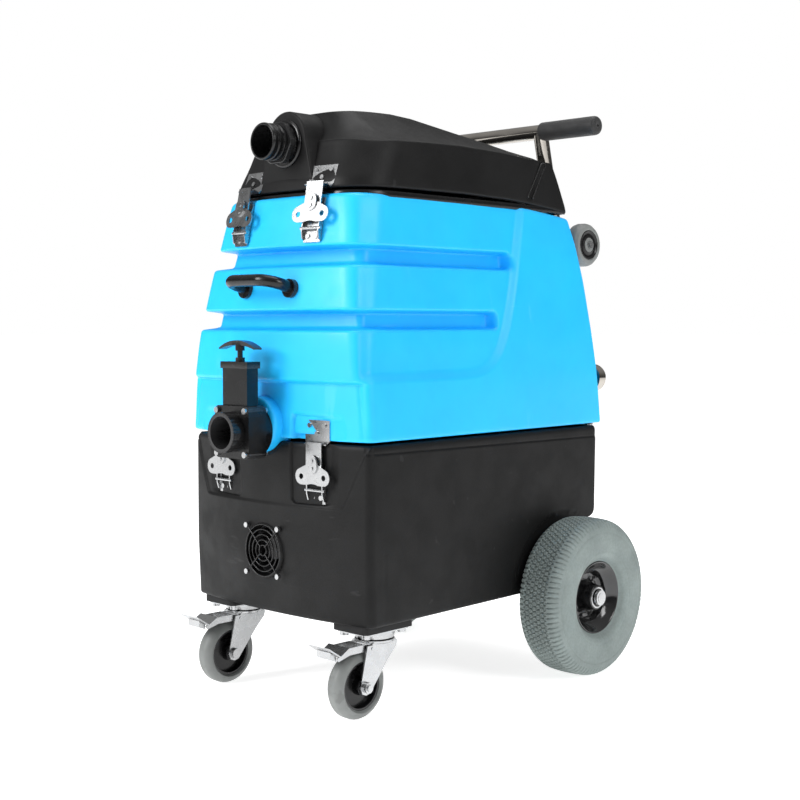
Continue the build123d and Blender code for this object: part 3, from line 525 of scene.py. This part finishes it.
def curve_distance(y, z, line, inside_corner):
    """Signed distance from (y, z) to a curve, negative on the side of the polygon closed by inside_corner."""
    best = np.full(y.shape, 1e9)
    inside = np.zeros(y.shape, bool)
    loop = np.vstack([line, inside_corner])
    for (ya, za), (yb, zb) in zip(line, line[1:]):
        dy, dz = yb - ya, zb - za
        t = np.clip(((y - ya) * dy + (z - za) * dz) / (dy * dy + dz * dz), 0, 1)
        best = np.minimum(best, np.hypot(y - ya - t * dy, z - za - t * dz))
    for (ya, za), (yb, zb) in zip(loop, np.roll(loop, -1, 0)):
        if za == zb:
            continue
        crosses = (za > z) != (zb > z)
        at = ya + (z - za) * (yb - ya) / (zb - za)
        inside ^= crosses & (y < at)
    return np.where(inside, -best, best)


SWOOSH_CURVE = curve_points(SWOOSH)
SWOOSH_CORNER = np.array([(-900.0, 495.5), (-900.0, 800.0)])


def groove_profile(d, deep=30.0, lip=5.0, draft=2.6):
    """Depth of a moulded groove by distance outside its edge: rounded lip, steep wall, rounded bottom."""
    outer = lip - np.sqrt(np.maximum(lip * lip - np.clip(lip - d, 0, lip) ** 2, 0))
    wall = lip + np.clip(-d / draft, 0, 1) * (deep - 2 * lip)
    e = np.clip(-d - draft, 0, lip)
    floor = deep - (lip - np.sqrt(np.maximum(lip * lip - (lip - e) ** 2, 0)))
    return np.where(d > 0, outer, np.where(d > -draft, wall, floor))


def tank_inset(y, z, nx):
    """How far the tank's skin lies inside its plain loft: side bands, foot of the front, two grooves."""
    on_side = step(0.55, 0.95, np.abs(nx))
    distance = curve_distance(y, z, SWOOSH_CURVE, SWOOSH_CORNER)
    ramp = np.clip(-(distance - 0.5) / 15.0, 0, 1)
    band = 0.45 * ramp + 0.55 * ramp * ramp * (3 - 2 * ramp)
    below = np.interp(z, [411, 492], [4, 11])
    rim = 6 - np.sqrt(np.maximum(36 - np.clip(501 - z, 0, 6) ** 2, 0))
    foot = rim + (below - 6) * np.where(below > 6, step(495.2, 492.8, z), step(495, 470, z))
    inset = 8.0 * on_side * band + (1 - on_side) * foot
    for low, high, end in GROOVES:
        d = box_distance(y, z, -1400, end, low, high, 9.0)
        inset = inset + (30.0 - inset) / 30.0 * groove_profile(d)
    return inset


def tank_heights():
    fine = [7, 6, 5, 4.2, 3.4, 2.6, 1.8, 1.1, 0.5, 0, -0.6, -1.3, -2.0, -2.6, -3.2, -4.0, -5.0, -6.2,
            -7.6, -10]
    edges = {411, 411.5, 412.5, 414.5, 418, 758, 760.5, 762.5, 764.2, 765.3, 765.9, 766}
    edges |= {round(494.0 + 1.0 * k, 2) for k in range(-6, 10)}
    for low, high, _ in GROOVES:
        edges |= {round(low - d, 2) for d in fine} | {round(high + d, 2) for d in fine}
    busy = sorted(edges)
    for z in np.arange(422, 758, 3.0):
        if min(abs(z - mark) for mark in busy) > 1.6:
            edges.add(float(z))
    return sorted(edges)


def raise_seam(y, z, low, high):
    """Height moved with the arched seam line, fading out from one height to the other."""
    lift = np.interp(y, *np.array(SEAM_LINE, float).T)
    return z + lift * step(low, high, z)


def build_tank():
    rings = []
    heights = tank_heights()
    for z in heights:
        ring, normal = outline(level_at(TANK_LEVELS, z))
        height = np.full(len(ring), float(z))
        inset = tank_inset(ring[:, 1], height, normal[:, 0])
        lip = max(4.0 - (z - 411), 0.0), max(z - 760, 0.0)
        inset = inset + 4 - math.sqrt(16 - lip[0] ** 2) + 6 - math.sqrt(36 - lip[1] ** 2)
        xy = ring - normal * inset[:, None]
        for side in (-1, 1):
            d = box_distance(xy[:, 0] * side, height, LATCH_X - LATCH_HALF, LATCH_X + 60, 380, 448, 5)
            pushed = np.maximum(xy[:, 1], LATCH_BACK_Y + 0.6)
            share = step(0.5, -4.5, d) * (normal[:, 1] < -FLAT_NORMAL)
            xy[:, 1] += (pushed - xy[:, 1]) * share
        rings.append(np.column_stack([xy, raise_seam(xy[:, 1], height, 700, 760)]))
    top = rings[-1][:, :2]
    rim_z = rings[-1][:, 2]
    for share, z in ((0.12, 766), (0.3, 765.5), (1.0, 765), (1.0, 763), (1.0, 757)):
        keep = np.column_stack([np.clip(top[:, 0], -90, 90), np.clip(top[:, 1], -375, -40)])
        away = top - keep
        mouth = keep + 20 * away / np.linalg.norm(away, axis=1)[:, None]
        level = z + (rim_z - 766) * np.interp(share, [0.12, 1], [1, 0])
        rings.append(np.column_stack([top + (mouth - top) * share, level]))
    for z in [752] + list(np.arange(746, 425, -6.0)) + [419]:
        ring, normal = outline(level_at(TANK_LEVELS, z))
        height = np.full(len(ring), float(z))
        inset = tank_inset(ring[:, 1], height, normal[:, 0]) + 7.0
        rings.append(np.column_stack([ring - normal * inset[:, None], height]))
    points = np.concatenate(rings)
    count = len(points)
    points = np.vstack([points, [(0, -190, 411), (0, -190, 418)]])
    faces = ring_faces(len(rings), RING)
    faces += cap_faces(0, RING, count)
    faces += cap_faces((len(rings) - 1) * RING, RING, count + 1)
    return make_piece("tank_skin", points, faces, BLUE, "tank", "tank_shell", "blue_tank")


def base_rear(z):
    """Rear limit of the base by height, up to the foot of the overhang."""
    return float(np.interp(z, [142, 232, 240, 244, 246], [16, 16, 18, 21, 26]))


def base_rings(extra):
    rows = [(z, base_rear(z)) for z in (142, 142.5, 143.5, 145.5, 149, 156, 168, 182, 198)]
    rows += [(z, base_rear(z)) for z in np.arange(206, 232, 4.0)]
    rows += [(z, base_rear(z)) for z in (232, 236, 240, 242, 244, 246)]
    rows += [(246.8, 38), (247.6, 52), (248.4, 66), (249.2, 78), (250.6, 84.6), (252.8, 89.4), (255.8, 92.6),
             (259.6, 94.5), (264, 95)]
    rows += [(z, 95) for z in np.arange(268, 299, 4.0)]
    rows += [(z, 95) for z in np.arange(299, 330, 1.5)]
    rows += [(z, 95) for z in np.arange(333, 380, 5.0)]
    rows += [(z, 95) for z in np.arange(382, 396, 1.0)]
    rows += [(z, 95) for z in (396.5, 398, 400, 402, 403.6, 404.8, 405.6, 406)]
    rings = []
    for z, rear in rows:
        ring, normal = outline(level_at(BASE_LEVELS, z), rear - extra)
        height = np.full(len(ring), float(z))
        inset = np.full(len(ring), extra)
        low, high = max(4 - (z - 142), 0.0), max(z - 397, 0.0)
        inset += 4 - math.sqrt(16 - low * low) + 0.5 * (9 - math.sqrt(81 - high * high))
        if extra == 0:
            inset += base_detail(ring, height, normal)
        if rear < 94:
            inset[normal[:, 1] > 0.7] -= extra
        xy = ring - normal * inset[:, None]
        if extra == 0:
            xy = base_pockets(xy, height, normal)
        rings.append(np.column_stack([xy, height]))
    return rings


def base_detail(ring, z, normal):
    """Shallow lines moulded into the base: the rim band and a parting line."""
    y = ring[:, 1]
    rim = 392.0 + np.interp(y, [-470, 95], [2, -4])
    inset = 1.1 * np.exp(-((z - rim) / 1.6) ** 2) * (np.abs(normal[:, 0]) > 0.5)
    inset += 0.9 * step(rim - 1, rim + 3, z) * (np.abs(normal[:, 0]) > 0.3)
    side = step(0.6, 0.95, np.abs(normal[:, 0]))
    inset += 0.7 * np.exp(-((y + 437) / 1.4) ** 2) * side * (z < rim)
    return inset


def base_pockets(xy, z, normal):
    """Latch recesses, front panel line, drain boss seat, wheel recess and fan hole."""
    front = normal[:, 1] < -0.35
    x, y = xy[:, 0].copy(), xy[:, 1].copy()
    half = 154 + (z - 311) * 0.47
    panel = box_distance(x / half * 154, z, -154, 154, 311, 470, 6)
    y = y + 2.6 * step(1.0, -2.0, panel) * front
    for side in (-1, 1):
        across = x * side
        d = box_distance(across, z, LATCH_X - LATCH_HALF, LATCH_X + LATCH_HALF, 315, 470, 7)
        floor = LATCH_BACK_Y + 0.6 + 3.4 * step(128, 122, across)
        share = step(1.0, -5.0, d) * front
        y += (np.maximum(y, floor) - y) * share
    boss = np.hypot(x, z - 430)
    y += (np.maximum(y, -474.0) - y) * step(47.0, 43.0, boss) * front
    wheel = np.hypot(y, z - TYRE_R)
    limit = 188.4 + 20 * (1 - step(141, 134, wheel))
    x = np.sign(x) * np.minimum(np.abs(x), limit)
    reach = np.hypot(x, z - FAN_Z)
    near = (np.abs(reach - FAN_HOLE_R) < 1.8) & front
    grow = np.where(near, FAN_HOLE_R / np.maximum(reach, 1), 1.0)
    return np.column_stack([x * grow, y])


def build_base():
    outer = base_rings(0.0)
    inner = base_rings(6.0)[::-1]
    inner = [ring for ring in inner if ring[0, 2] > 148]
    rings = outer + inner
    points = np.concatenate(rings)
    count = len(points)
    points = np.vstack([points, [(0, -220, 142), (0, -220, 148)]])
    faces = ring_faces(len(rings), RING)
    faces += cap_faces(0, RING, count)
    faces += cap_faces((len(rings) - 1) * RING, RING, count + 1)
    kept = []
    for face in faces:
        middle = points[list(face)].mean(0)
        if middle[1] < -440 and math.hypot(middle[0], middle[2] - FAN_Z) < FAN_HOLE_R - 0.3:
            continue
        kept.append(face)
    skin = make_piece("base_skin", points, kept, GRAINED, "chassis", "base_shell", "black_housing")
    tube = [(-497.5, 41.6), (-498.0, 40.6), (-497.6, 39.9), (-470, 39.6), (-470, 41.4), (-492, 42.2)]
    turned_piece("fan_bezel", rounded(tube, 0.4), (0, 0, FAN_Z), GRAINED, "chassis", "Y", 96,
                 slot="black_housing")
    return skin


# ---------------------------------------------------------------- lid
def lid_wall_inset(ring, z, normal):
    """Details of the lid's wall: the slanted channel near the rear of each side."""
    y = ring[:, 1]
    side = step(0.75, 0.97, np.abs(normal[:, 0]))
    middle = np.interp(z, [783, 853], [-50, -8])
    across = np.abs(y - middle)
    along = step(779, 786, z) * side
    return 2.6 * step(8.5, 4.5, across) * along


def build_lid():
    rings = []
    for z in [775, 775.4, 776.4, 778, 780.5, 784] + list(np.arange(788, 847, 3.0)) + [848]:
        ring, normal = outline(level_at(LID_LEVELS, z, 6.0))
        height = np.full(len(ring), float(z))
        low = max(3.0 - (z - 775), 0.0)
        inset = lid_wall_inset(ring, height, normal) + 3 - math.sqrt(9 - low * low)
        lifted = raise_seam(ring[:, 1], height, 835, 785)
        rings.append(np.column_stack([ring - normal * inset[:, None], lifted]))
    edge, normal = outline(level_at(LID_LEVELS, 854, 0.0))
    shoulder = np.interp(edge[:, 1], *np.array(SHOULDER_LINE, float).T)
    last = rings[-1]
    for share, inset in ((0.35, 0.0), (0.65, 0.1), (0.85, 0.5), (0.96, 1.3), (1.0, 2.4)):
        xy = last[:, :2] + (edge - last[:, :2]) * min(share, 0.9)
        rings.append(np.column_stack([xy - normal * inset, last[:, 2] + (shoulder - last[:, 2]) * share]))
    start = rings[-1]
    ridge = outline(RIDGE_LEVEL)[0]
    crown = np.array(RIDGE_LINE, float)
    for u in np.concatenate([np.linspace(0.04, 0.86, 22), [0.9, 0.94, 0.97, 1.0]]):
        xy = start[:, :2] + (ridge - start[:, :2]) * u
        top = np.maximum(np.interp(ridge[:, 1], *crown.T), shoulder)
        rise = 0.42 * u + 0.58 * u * u
        rise = min(rise, 1.0) - 0.012 * float(step(0.9, 1.0, np.array(u)))
        rings.append(np.column_stack([xy, start[:, 2] + (top - start[:, 2]) * rise]))
    spine = np.column_stack([np.zeros(RING), ridge[:, 1] * 0.8 - 40])
    for t in (0.03, 0.08, 0.16, 0.28, 0.42, 0.58, 0.74, 0.88, 0.96, 1.0):
        xy = ridge * (1 - t) + spine * t
        heights = [np.interp(xy[:, 1] + d, crown[:, 0], crown[:, 1]) for d in (-14, -7, 0, 7, 14)]
        rings.append(np.column_stack([xy, np.mean(heights, 0) + 0.6 * t]))
    outer = len(rings)
    inner = []
    for ring in rings[:outer]:
        centre = np.array([0.0, -190.0])
        shrink = ring[:, :2] - centre
        inner.append(np.column_stack([centre + shrink * 0.963, ring[:, 2] - 5.0 * (ring[:, 2] > 800)]))
    rings += inner[::-1]
    points = np.concatenate(rings)
    faces = ring_faces(outer, RING) + ring_faces(outer, RING, start=outer * RING)
    last = (len(rings) - 1) * RING
    faces += [(k, last + k, last + (k + 1) % RING, (k + 1) % RING) for k in range(RING)]
    return make_piece("lid_skin", points, faces, GRAINED, "lid", "lid_shell", "black_housing")


def build_boss():
    """Arch-shaped boss that carries the hose port, running back into the roof."""
    arch = []
    for z in np.linspace(792, 858, 14):
        half = np.interp(z, [792, 800, 858], [60.5, 58, 44])
        arch.append((half, z))
    for w in np.linspace(0, math.pi, 49)[1:-1]:
        arch.append((44 * math.cos(w), 858 + 44 * math.sin(w)))
    arch += [(-x, z) for x, z in arch[:14][::-1]]
    arch = np.array(arch)
    middle = np.array([0, 850.0])
    rings = []
    for y, shrink in ((-447.9, 5.0), (-447.9, 3.2), (-447.3, 1.4), (-446.0, 0.4), (-444.3, 0.0), (-430, 0.0),
                      (-415, 0.0), (-400, 0.0), (-385, 0.6), (-370, 1.6), (-355, 3.0)):
        away = arch - middle
        scale = 1 - shrink / np.linalg.norm(away, axis=1)
        xz = middle + away * scale[:, None]
        rings.append(np.column_stack([xz[:, 0], np.full(len(xz), y), xz[:, 1]]))
    count = len(arch)
    points = np.concatenate(rings)
    total = len(points)
    points = np.vstack([points, [(0, -447.9, 850), (0, -355, 850)]])
    faces = ring_faces(len(rings), count)
    faces += cap_faces(0, count, total)
    faces += cap_faces((len(rings) - 1) * count, count, total + 1)
    return make_piece("lid_boss", points, faces, GRAINED, "lid", slot="black_housing", sharp_deg=50)


def build_gasket():
    """Glossy strip between the tank and the lid's lower lip."""
    rings = []
    section = [(767.0, 4.5), (767.2, 2.8), (768.2, 2.2), (775.6, 2.2), (777.5, 3.0), (777.5, 8.0),
               (767.0, 8.0)]
    for z, inset in section:
        ring, normal = outline(level_at(LID_LEVELS, max(z, 770.1), 2.0))
        rings.append(np.column_stack([ring - normal * inset, np.full(RING, z)]))
    points = np.concatenate(rings)
    faces = ring_faces(len(rings), RING, looped=True)
    return make_piece("lid_gasket", points, faces, GLOSS, "lid", slot="black_gloss")


def build_channel(side, name):
    """Raised bead that frames the slanted channel near the rear of the lid's side."""
    half = 6.2
    run = [(-1, t) for t in np.linspace(0, 1, 24)]
    run += [(-math.cos(w), 1 + 0.09 * math.sin(w)) for w in np.linspace(0, math.pi, 15)[1:-1]]
    run += [(1, t) for t in np.linspace(1, 0, 24)]
    path = []
    for across, t in run:
        z = 785 + 59 * t
        y = -50 + 40 * t + across * half
        ring = outline(level_at(LID_LEVELS, z, 6.0))[0][sum(COUNTS[:2]):sum(COUNTS[:3])]
        lift = float(np.interp(y, *np.array(SEAM_LINE, float).T)) * float(step(835, 785, np.array(z)))
        path.append((side * (float(np.interp(y, ring[:, 1], ring[:, 0])) - 0.3), y, z + lift))
    path = np.array(path)
    along = np.gradient(path, axis=0)
    along /= np.linalg.norm(along, axis=1)[:, None]
    count = 10
    rings = []
    for spot, way in zip(path, along):
        out = np.array([side, 0, 0]) - way * way[0] * side
        out /= np.linalg.norm(out)
        flat = np.cross(way, out)
        turn = np.linspace(0, 2 * math.pi, count, endpoint=False)[:, None]
        rings.append(spot + 1.35 * (np.cos(turn) * out + np.sin(turn) * flat))
    points = np.concatenate(rings)
    faces = ring_faces(len(rings), count)
    faces += [tuple(range(count)), tuple(range((len(rings) - 1) * count, len(rings) * count))]
    return make_piece("lid_bead_" + name, points, faces, GLOSS, "lid", slot="black_gloss")


# ---------------------------------------------------------------- hose port and drain boss
def build_port():
    y = -496.0
    z = 853.0
    barbs = [(66, 24.2), (0.4, 24.2), (0, 25.2), (0.2, 26.3), (1.6, 27.6), (3.2, 28.0), (8.2, 27.6),
             (9.2, 26.4), (11.2, 26.2), (12.0, 26.4), (12.6, 27.9), (13.4, 28.0), (18.6, 27.4), (19.6, 26.3),
             (21.4, 26.2), (21.8, 27.6), (23.2, 27.8), (23.6, 26.6), (25.0, 26.6), (34.6, 27.2), (35.4, 28.4),
             (36.4, 28.6), (43.2, 28.6), (43.4, 33.4), (44.4, 35.8), (45.4, 36.4), (47.9, 36.4), (48.0, 26.4),
             (66, 26.4)]
    turned_piece("hose_port_body", rounded(barbs, 0.5, 3), (0, y, z), GLOSS, "lid", "Y", 128,
                 node="hose_port", slot="black_gloss", sharp_deg=40)
    points, faces = [], []
    profile = [(28.2, 27.0), (28.2, 29.2), (29.0, 30.4), (36.2, 30.4), (37.0, 29.2), (37.0, 27.0)]
    count = 96
    angles = np.linspace(0, 2 * math.pi, count, endpoint=False)
    flat = math.pi / 3
    for along, radius in profile:
        fold = np.abs((angles % flat) - flat / 2)
        hexed = np.minimum(radius / np.cos(fold), radius + 2.6) if radius > 27.5 else np.full(count, radius)
        points.append(np.column_stack([hexed * np.cos(angles), np.full(count, y + along),
                                       z + hexed * np.sin(angles)]))
    faces = ring_faces(len(profile), count, looped=True)
    make_piece("hose_port_nut", np.concatenate(points), faces, GLOSS, "lid", slot="black_gloss", sharp_deg=30)


def build_drain_boss():
    """Rounded pad on the tank's front that the drain valve bolts to."""
    profile = [(-509.9, 28.4), (-509.9, 37.0), (-509.2, 39.4), (-507.2, 41.2), (-504.0, 41.9), (-494, 42.0),
               (-489, 42.6), (-486.6, 44.5), (-485.2, 48.0), (-478, 48.0), (-478, 28.4)]
    return turned_piece("drain_pad", profile, (0, 0, 430), BLUE, "tank", "Y", 96, node="drain_boss",
                        slot="blue_tank", sharp_deg=60)


# ---------------------------------------------------------------- tyres
def tyre_section():
    """Half section of the rear tyre, from the tread's middle over the shoulder to the bead."""
    points = [(a, 130 - 0.9 * (a / 23) ** 2) for a in np.linspace(0, 23, 40)]
    points += [(24.0, 129.0), (25.2, 128.8), (26.4, 128.5), (27.6, 128.2), (28.8, 127.7), (30.0, 127.1),
               (31.4, 126.2), (32.8, 125.0), (34.2, 123.6), (35.6, 121.7), (36.9, 119.4), (37.9, 117.0),
               (38.6, 114.8), (39.1, 112.6), (39.5, 110.4), (39.7, 109.6), (39.4, 108.8), (39.4, 107.8),
               (39.9, 107.0), (40.4, 104.0), (40.8, 100.0), (41.1, 96.0), (41.3, 91.0), (41.3, 86.0),
               (41.0, 80.0), (40.7, 77.6), (40.4, 77.0), (40.7, 76.2), (40.5, 74.8), (39.8, 72.6),
               (38.6, 69.8), (36.8, 67.2), (34.4, 65.2), (32.4, 63.9), (30.6, 62.4), (29.9, 61.2),
               (29.6, RIM_R)]
    return points


def tread_depth(a, r, angles):
    """Depth of the moulded pattern at one point of the section, for all angles."""
    phase = (angles / (2 * math.pi) * TREAD_BLOCKS) % 1.0
    if a < 23.0:
        column = 7.4
        index = math.floor(a / column + 0.5)
        u = (a / column - index) * 2
        v = ((phase + 0.5 * (index % 2)) % 1.0) - 0.5
        chain = np.abs(v) * 1.0 + 0.17 * abs(u) ** 2
        cross = step(0.33, 0.42, chain)
        seam = float(step(0.62, 0.84, np.array(abs(u))))
        small = step(0.12, 0.05, np.abs(v)) * float(step(0.5, 0.2, np.array(abs(u))))
        return 3.0 * np.maximum(cross, seam * step(0.02, 0.10, np.abs(v))) + 0.9 * small
    if a < 38.4 and r > 113:
        v = np.abs(((phase + 0.010 * (a - 23)) % 1.0) - 0.5)
        edge = float(step(23.0, 24.6, np.array(a)) * step(38.4, 37.0, np.array(a)))
        return 2.4 * step(0.30, 0.39, v) * edge
    return np.zeros_like(angles)


def build_tyre(side, name):
    x0 = side * TYRE_X
    section = tyre_section()
    full = [(-a, r) for a, r in section[::-1]] + section[1:]
    count = 1152
    angles = np.linspace(0, 2 * math.pi, count, endpoint=False)
    rings = []
    for a, r in full + [(0, RIM_R)]:
        radius = r - tread_depth(abs(a), r, angles) * (r > RIM_R)
        rings.append(np.column_stack([np.full(count, x0 + a), radius * np.cos(angles),
                                      TYRE_R + radius * np.sin(angles)]))
    points = np.concatenate(rings)
    faces = ring_faces(len(rings), count, looped=True)
    return make_piece("tyre_" + name, points, faces, TYRE, "rear_wheel_" + name, "rear_tyre_" + name,
                      "grey_tyre")


def build_rim(side, name):
    """Rim dished deeply on both faces, with six pockets round the hub and a bearing in its mouth."""
    x0 = side * TYRE_X
    body = "rear_wheel_" + name
    dish = [(29.9, 59.9), (30.9, 59.4), (31.2, 58.4), (30.6, 57.2), (28.6, 55.4), (25.6, 53.0), (22.4, 50.4),
            (19.6, 47.6), (17.6, 45.0), (16.4, 43.0), (14.4, 42.0), (11.0, 41.2), (7.6, 40.2), (5.0, 38.4),
            (3.8, 36.4), (3.4, 34.4), (3.4, 32.4), (3.6, 30.4), (4.4, 28.4), (6.4, 26.6), (9.6, 25.0),
            (14.4, 23.4), (20.0, 22.0), (26.0, 20.8), (29.8, 20.2), (31.0, 19.6), (31.4, 18.6), (31.4, 18.0),
            (30.4, 17.9), (30.4, 9.3)]
    profile = rounded(dish, 1.6, 3)
    profile = profile + [(-a, r) for a, r in profile[::-1]]
    count = 180
    points = lathe([(side * a, r) for a, r in profile], (x0, 0, TYRE_R), "X", count)
    away = np.hypot(points[:, 1], points[:, 2] - TYRE_R)
    turn = np.arctan2(points[:, 2] - TYRE_R, points[:, 1])
    pocket = step(0.35, 0.75, 0.5 + 0.5 * np.cos(6 * turn))
    band = step(26.5, 30.5, away) * step(44, 38.5, away)
    out = points[:, 0] - x0
    sunk = pocket * np.minimum(np.abs(out) * 0.5, 6.0) - 3.0 * (1 - pocket)
    points[:, 0] -= np.sign(out) * sunk * band
    faces = ring_faces(len(profile), count, looped=True)
    make_piece("rim_" + name, points, faces, RIM, body, "rear_rim_" + name, "black_rim", sharp_deg=55)
    ring = [(side * a, r) for a, r in ((30.5, 14.9), (31.8, 14.9), (32.0, 15.3), (32.0, 17.2), (31.7, 17.7),
                                       (30.5, 17.7))]
    turned_piece("bearing_" + name, ring, (x0, 0, TYRE_R), ZINC, body, "X", 72, slot="zinc", sharp_deg=35)
    seal = [(side * a, r) for a, r in ((30.5, 9.3), (31.2, 9.3), (31.3, 12.0), (31.1, 13.0), (31.1, 14.8),
                                       (30.5, 14.8))]
    turned_piece("bearing_seal_" + name, seal, (x0, 0, TYRE_R), GLOSS, body, "X", 72, slot="black_gloss",
                 sharp_deg=50)


def build_transport_hub(side, name):
    """Black disc in the outer face of a small wheel, with its ribs and a nut."""
    y0, z0 = 101.0, 717.0
    body = "transport_" + name
    low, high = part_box("transport_wheel_" + name)
    face = (high[0] if side > 0 else low[0]) * 1000 - side * 0.3
    section = [(4.0, 25.4), (1.0, 25.4), (0.2, 24.8), (0, 24.0), (0.2, 23.0), (1.6, 22.2), (2.4, 20.0),
               (1.6, 14.0), (0.4, 12.6), (0.3, 7.4), (4.0, 7.4)]
    disc = [(face - side * depth, radius) for depth, radius in section]
    turned_piece("transport_disc_" + name, disc, (0, y0, z0), GLOSS, body, "X", 72, slot="black_gloss",
                 sharp_deg=50)


def build_grip(side, name):
    inner, outer = 104.0, 221.0
    profile = [(inner, 12.9), (inner, 14.0), (inner + 0.7, 15.2), (inner + 2.2, 15.9)]
    for a in np.linspace(inner + 8, outer - 12, 18):
        profile.append((a, 15.95))
    profile += [(outer - 6, 15.8), (outer - 3.4, 15.1), (outer - 1.4, 13.6), (outer - 0.3, 11.2),
                (outer, 8.5),
                (outer, 3.4), (outer - 0.6, 2.6), (outer - 3.4, 2.4), (outer - 3.6, 0.3), (outer - 4.0, 12.9)]
    profile = [(side * a, r) for a, r in profile]
    return turned_piece("grip_" + name, profile, (0, 48, 911), GRIP, "tank", "X", 96, slot="grip_rubber")


build_tank()
build_base()
build_lid()
build_boss()
build_gasket()
build_port()
build_drain_boss()
for side, name in ((-1, "left"), (1, "right")):
    build_tyre(side, name)
    build_rim(side, name)
    build_transport_hub(side, name)
    build_channel(side, name)
grips = [build_grip(-1, "left"), build_grip(1, "right")]
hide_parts("handle_grips")

# ---------------------------------------------------------------- CAD nodes that stay
LOOKS = {
    "zinc": ZINC, "black_gloss": GLOSS, "black_housing": GRAINED, "black_rim": RIM, "grey_caster": CASTER,
    "chrome_tube": CHROME, "motor_alloy": ALLOY, "brass_fitting": BRASS, "blue_tank": BLUE, "grey_tyre": TYRE,
    "grip_rubber": GRIP,
}
slots = {row["node"]: row["material_slot"] for row in frame["record"]["subparts"]}
BEVELS = {"valve_body": 1.2, "valve_gate": 1.4, "caster_pads": 1.5, "handle_frame": 0.8}
for name in nodes:
    if slots[name] == "zinc":
        BEVELS[name] = 0.35
for name, piece in nodes.items():
    piece.data.materials.clear()
    piece.data.materials.append(LOOKS[slots[name]])
    piece.data.polygons.foreach_set("use_smooth", [True] * len(piece.data.polygons))
    piece.data.set_sharp_from_angle(angle=math.radians(32))
    if name in BEVELS:
        bevel = piece.modifiers.new("edge", "BEVEL")
        bevel.width = BEVELS[name] / 1000
        bevel.segments = 2
        bevel.limit_method = "ANGLE"
        bevel.angle_limit = math.radians(40)
        bevel.harden_normals = False

# ---------------------------------------------------------------- floor, light, camera
floor = bpy.data.meshes.new("floor")
floor.from_pydata([(-60, -60, 0), (60, -60, 0), (60, 60, 0), (-60, 60, 0)], [], [(0, 1, 2, 3)])
floor_piece = bpy.data.objects.new("floor", floor)
floor.materials.append(floor_look())
bpy.context.scene.collection.objects.link(floor_piece)

world = bpy.data.worlds.new("studio")
world.use_nodes = True
bpy.context.scene.world = world
tree = world.node_tree
background = tree.nodes["Background"]
background.inputs["Color"].default_value = (1, 1, 1, 1)
path = tree.nodes.new("ShaderNodeLightPath")
coord = tree.nodes.new("ShaderNodeTexCoord")
split = tree.nodes.new("ShaderNodeSeparateXYZ")
tree.links.new(coord.outputs["Generated"], split.inputs[0])
rise = tree.nodes.new("ShaderNodeMapRange")
rise.interpolation_type = "SMOOTHSTEP"
rise.inputs[1].default_value = 0.0
rise.inputs[2].default_value = 0.8
rise.inputs[3].default_value = 0.06
rise.inputs[4].default_value = 0.42
tree.links.new(split.outputs["Z"], rise.inputs[0])
pick = tree.nodes.new("ShaderNodeMix")
pick.inputs[3].default_value = 1.0
tree.links.new(path.outputs["Is Camera Ray"], pick.inputs[0])
tree.links.new(rise.outputs[0], pick.inputs[2])
tree.links.new(pick.outputs[0], background.inputs["Strength"])


def area_light(name, spot, target, size, size_y, power):
    light = bpy.data.lights.new(name, "AREA")
    light.shape = "RECTANGLE"
    light.size = size
    light.size_y = size_y
    light.energy = power
    piece = bpy.data.objects.new(name, light)
    piece.location = spot
    piece.rotation_euler = (Vector(target) - Vector(spot)).to_track_quat("-Z", "Y").to_euler()
    bpy.context.scene.collection.objects.link(piece)


area_light("key", (-1.0, -3.2, 2.0), (0, -0.1, 0.45), 1.3, 1.7, 104)
area_light("side", (3.4, 0.2, 2.1), (0, 0, 0.5), 1.1, 1.8, 44)
area_light("top", (0.2, 0.3, 3.4), (0, 0, 0.5), 2.0, 2.0, 52)

camera = bpy.data.cameras.new("camera")
camera.lens = 61.33
camera.sensor_width = 36.0
view = bpy.data.objects.new("camera", camera)
view.location = (1.5694, -1.6132, 0.5804)
view.rotation_euler = (math.radians(86.81), 0, math.radians(43.82))
bpy.context.scene.collection.objects.link(view)
bpy.context.scene.camera = view
bpy.context.scene.view_settings.view_transform = "Standard"
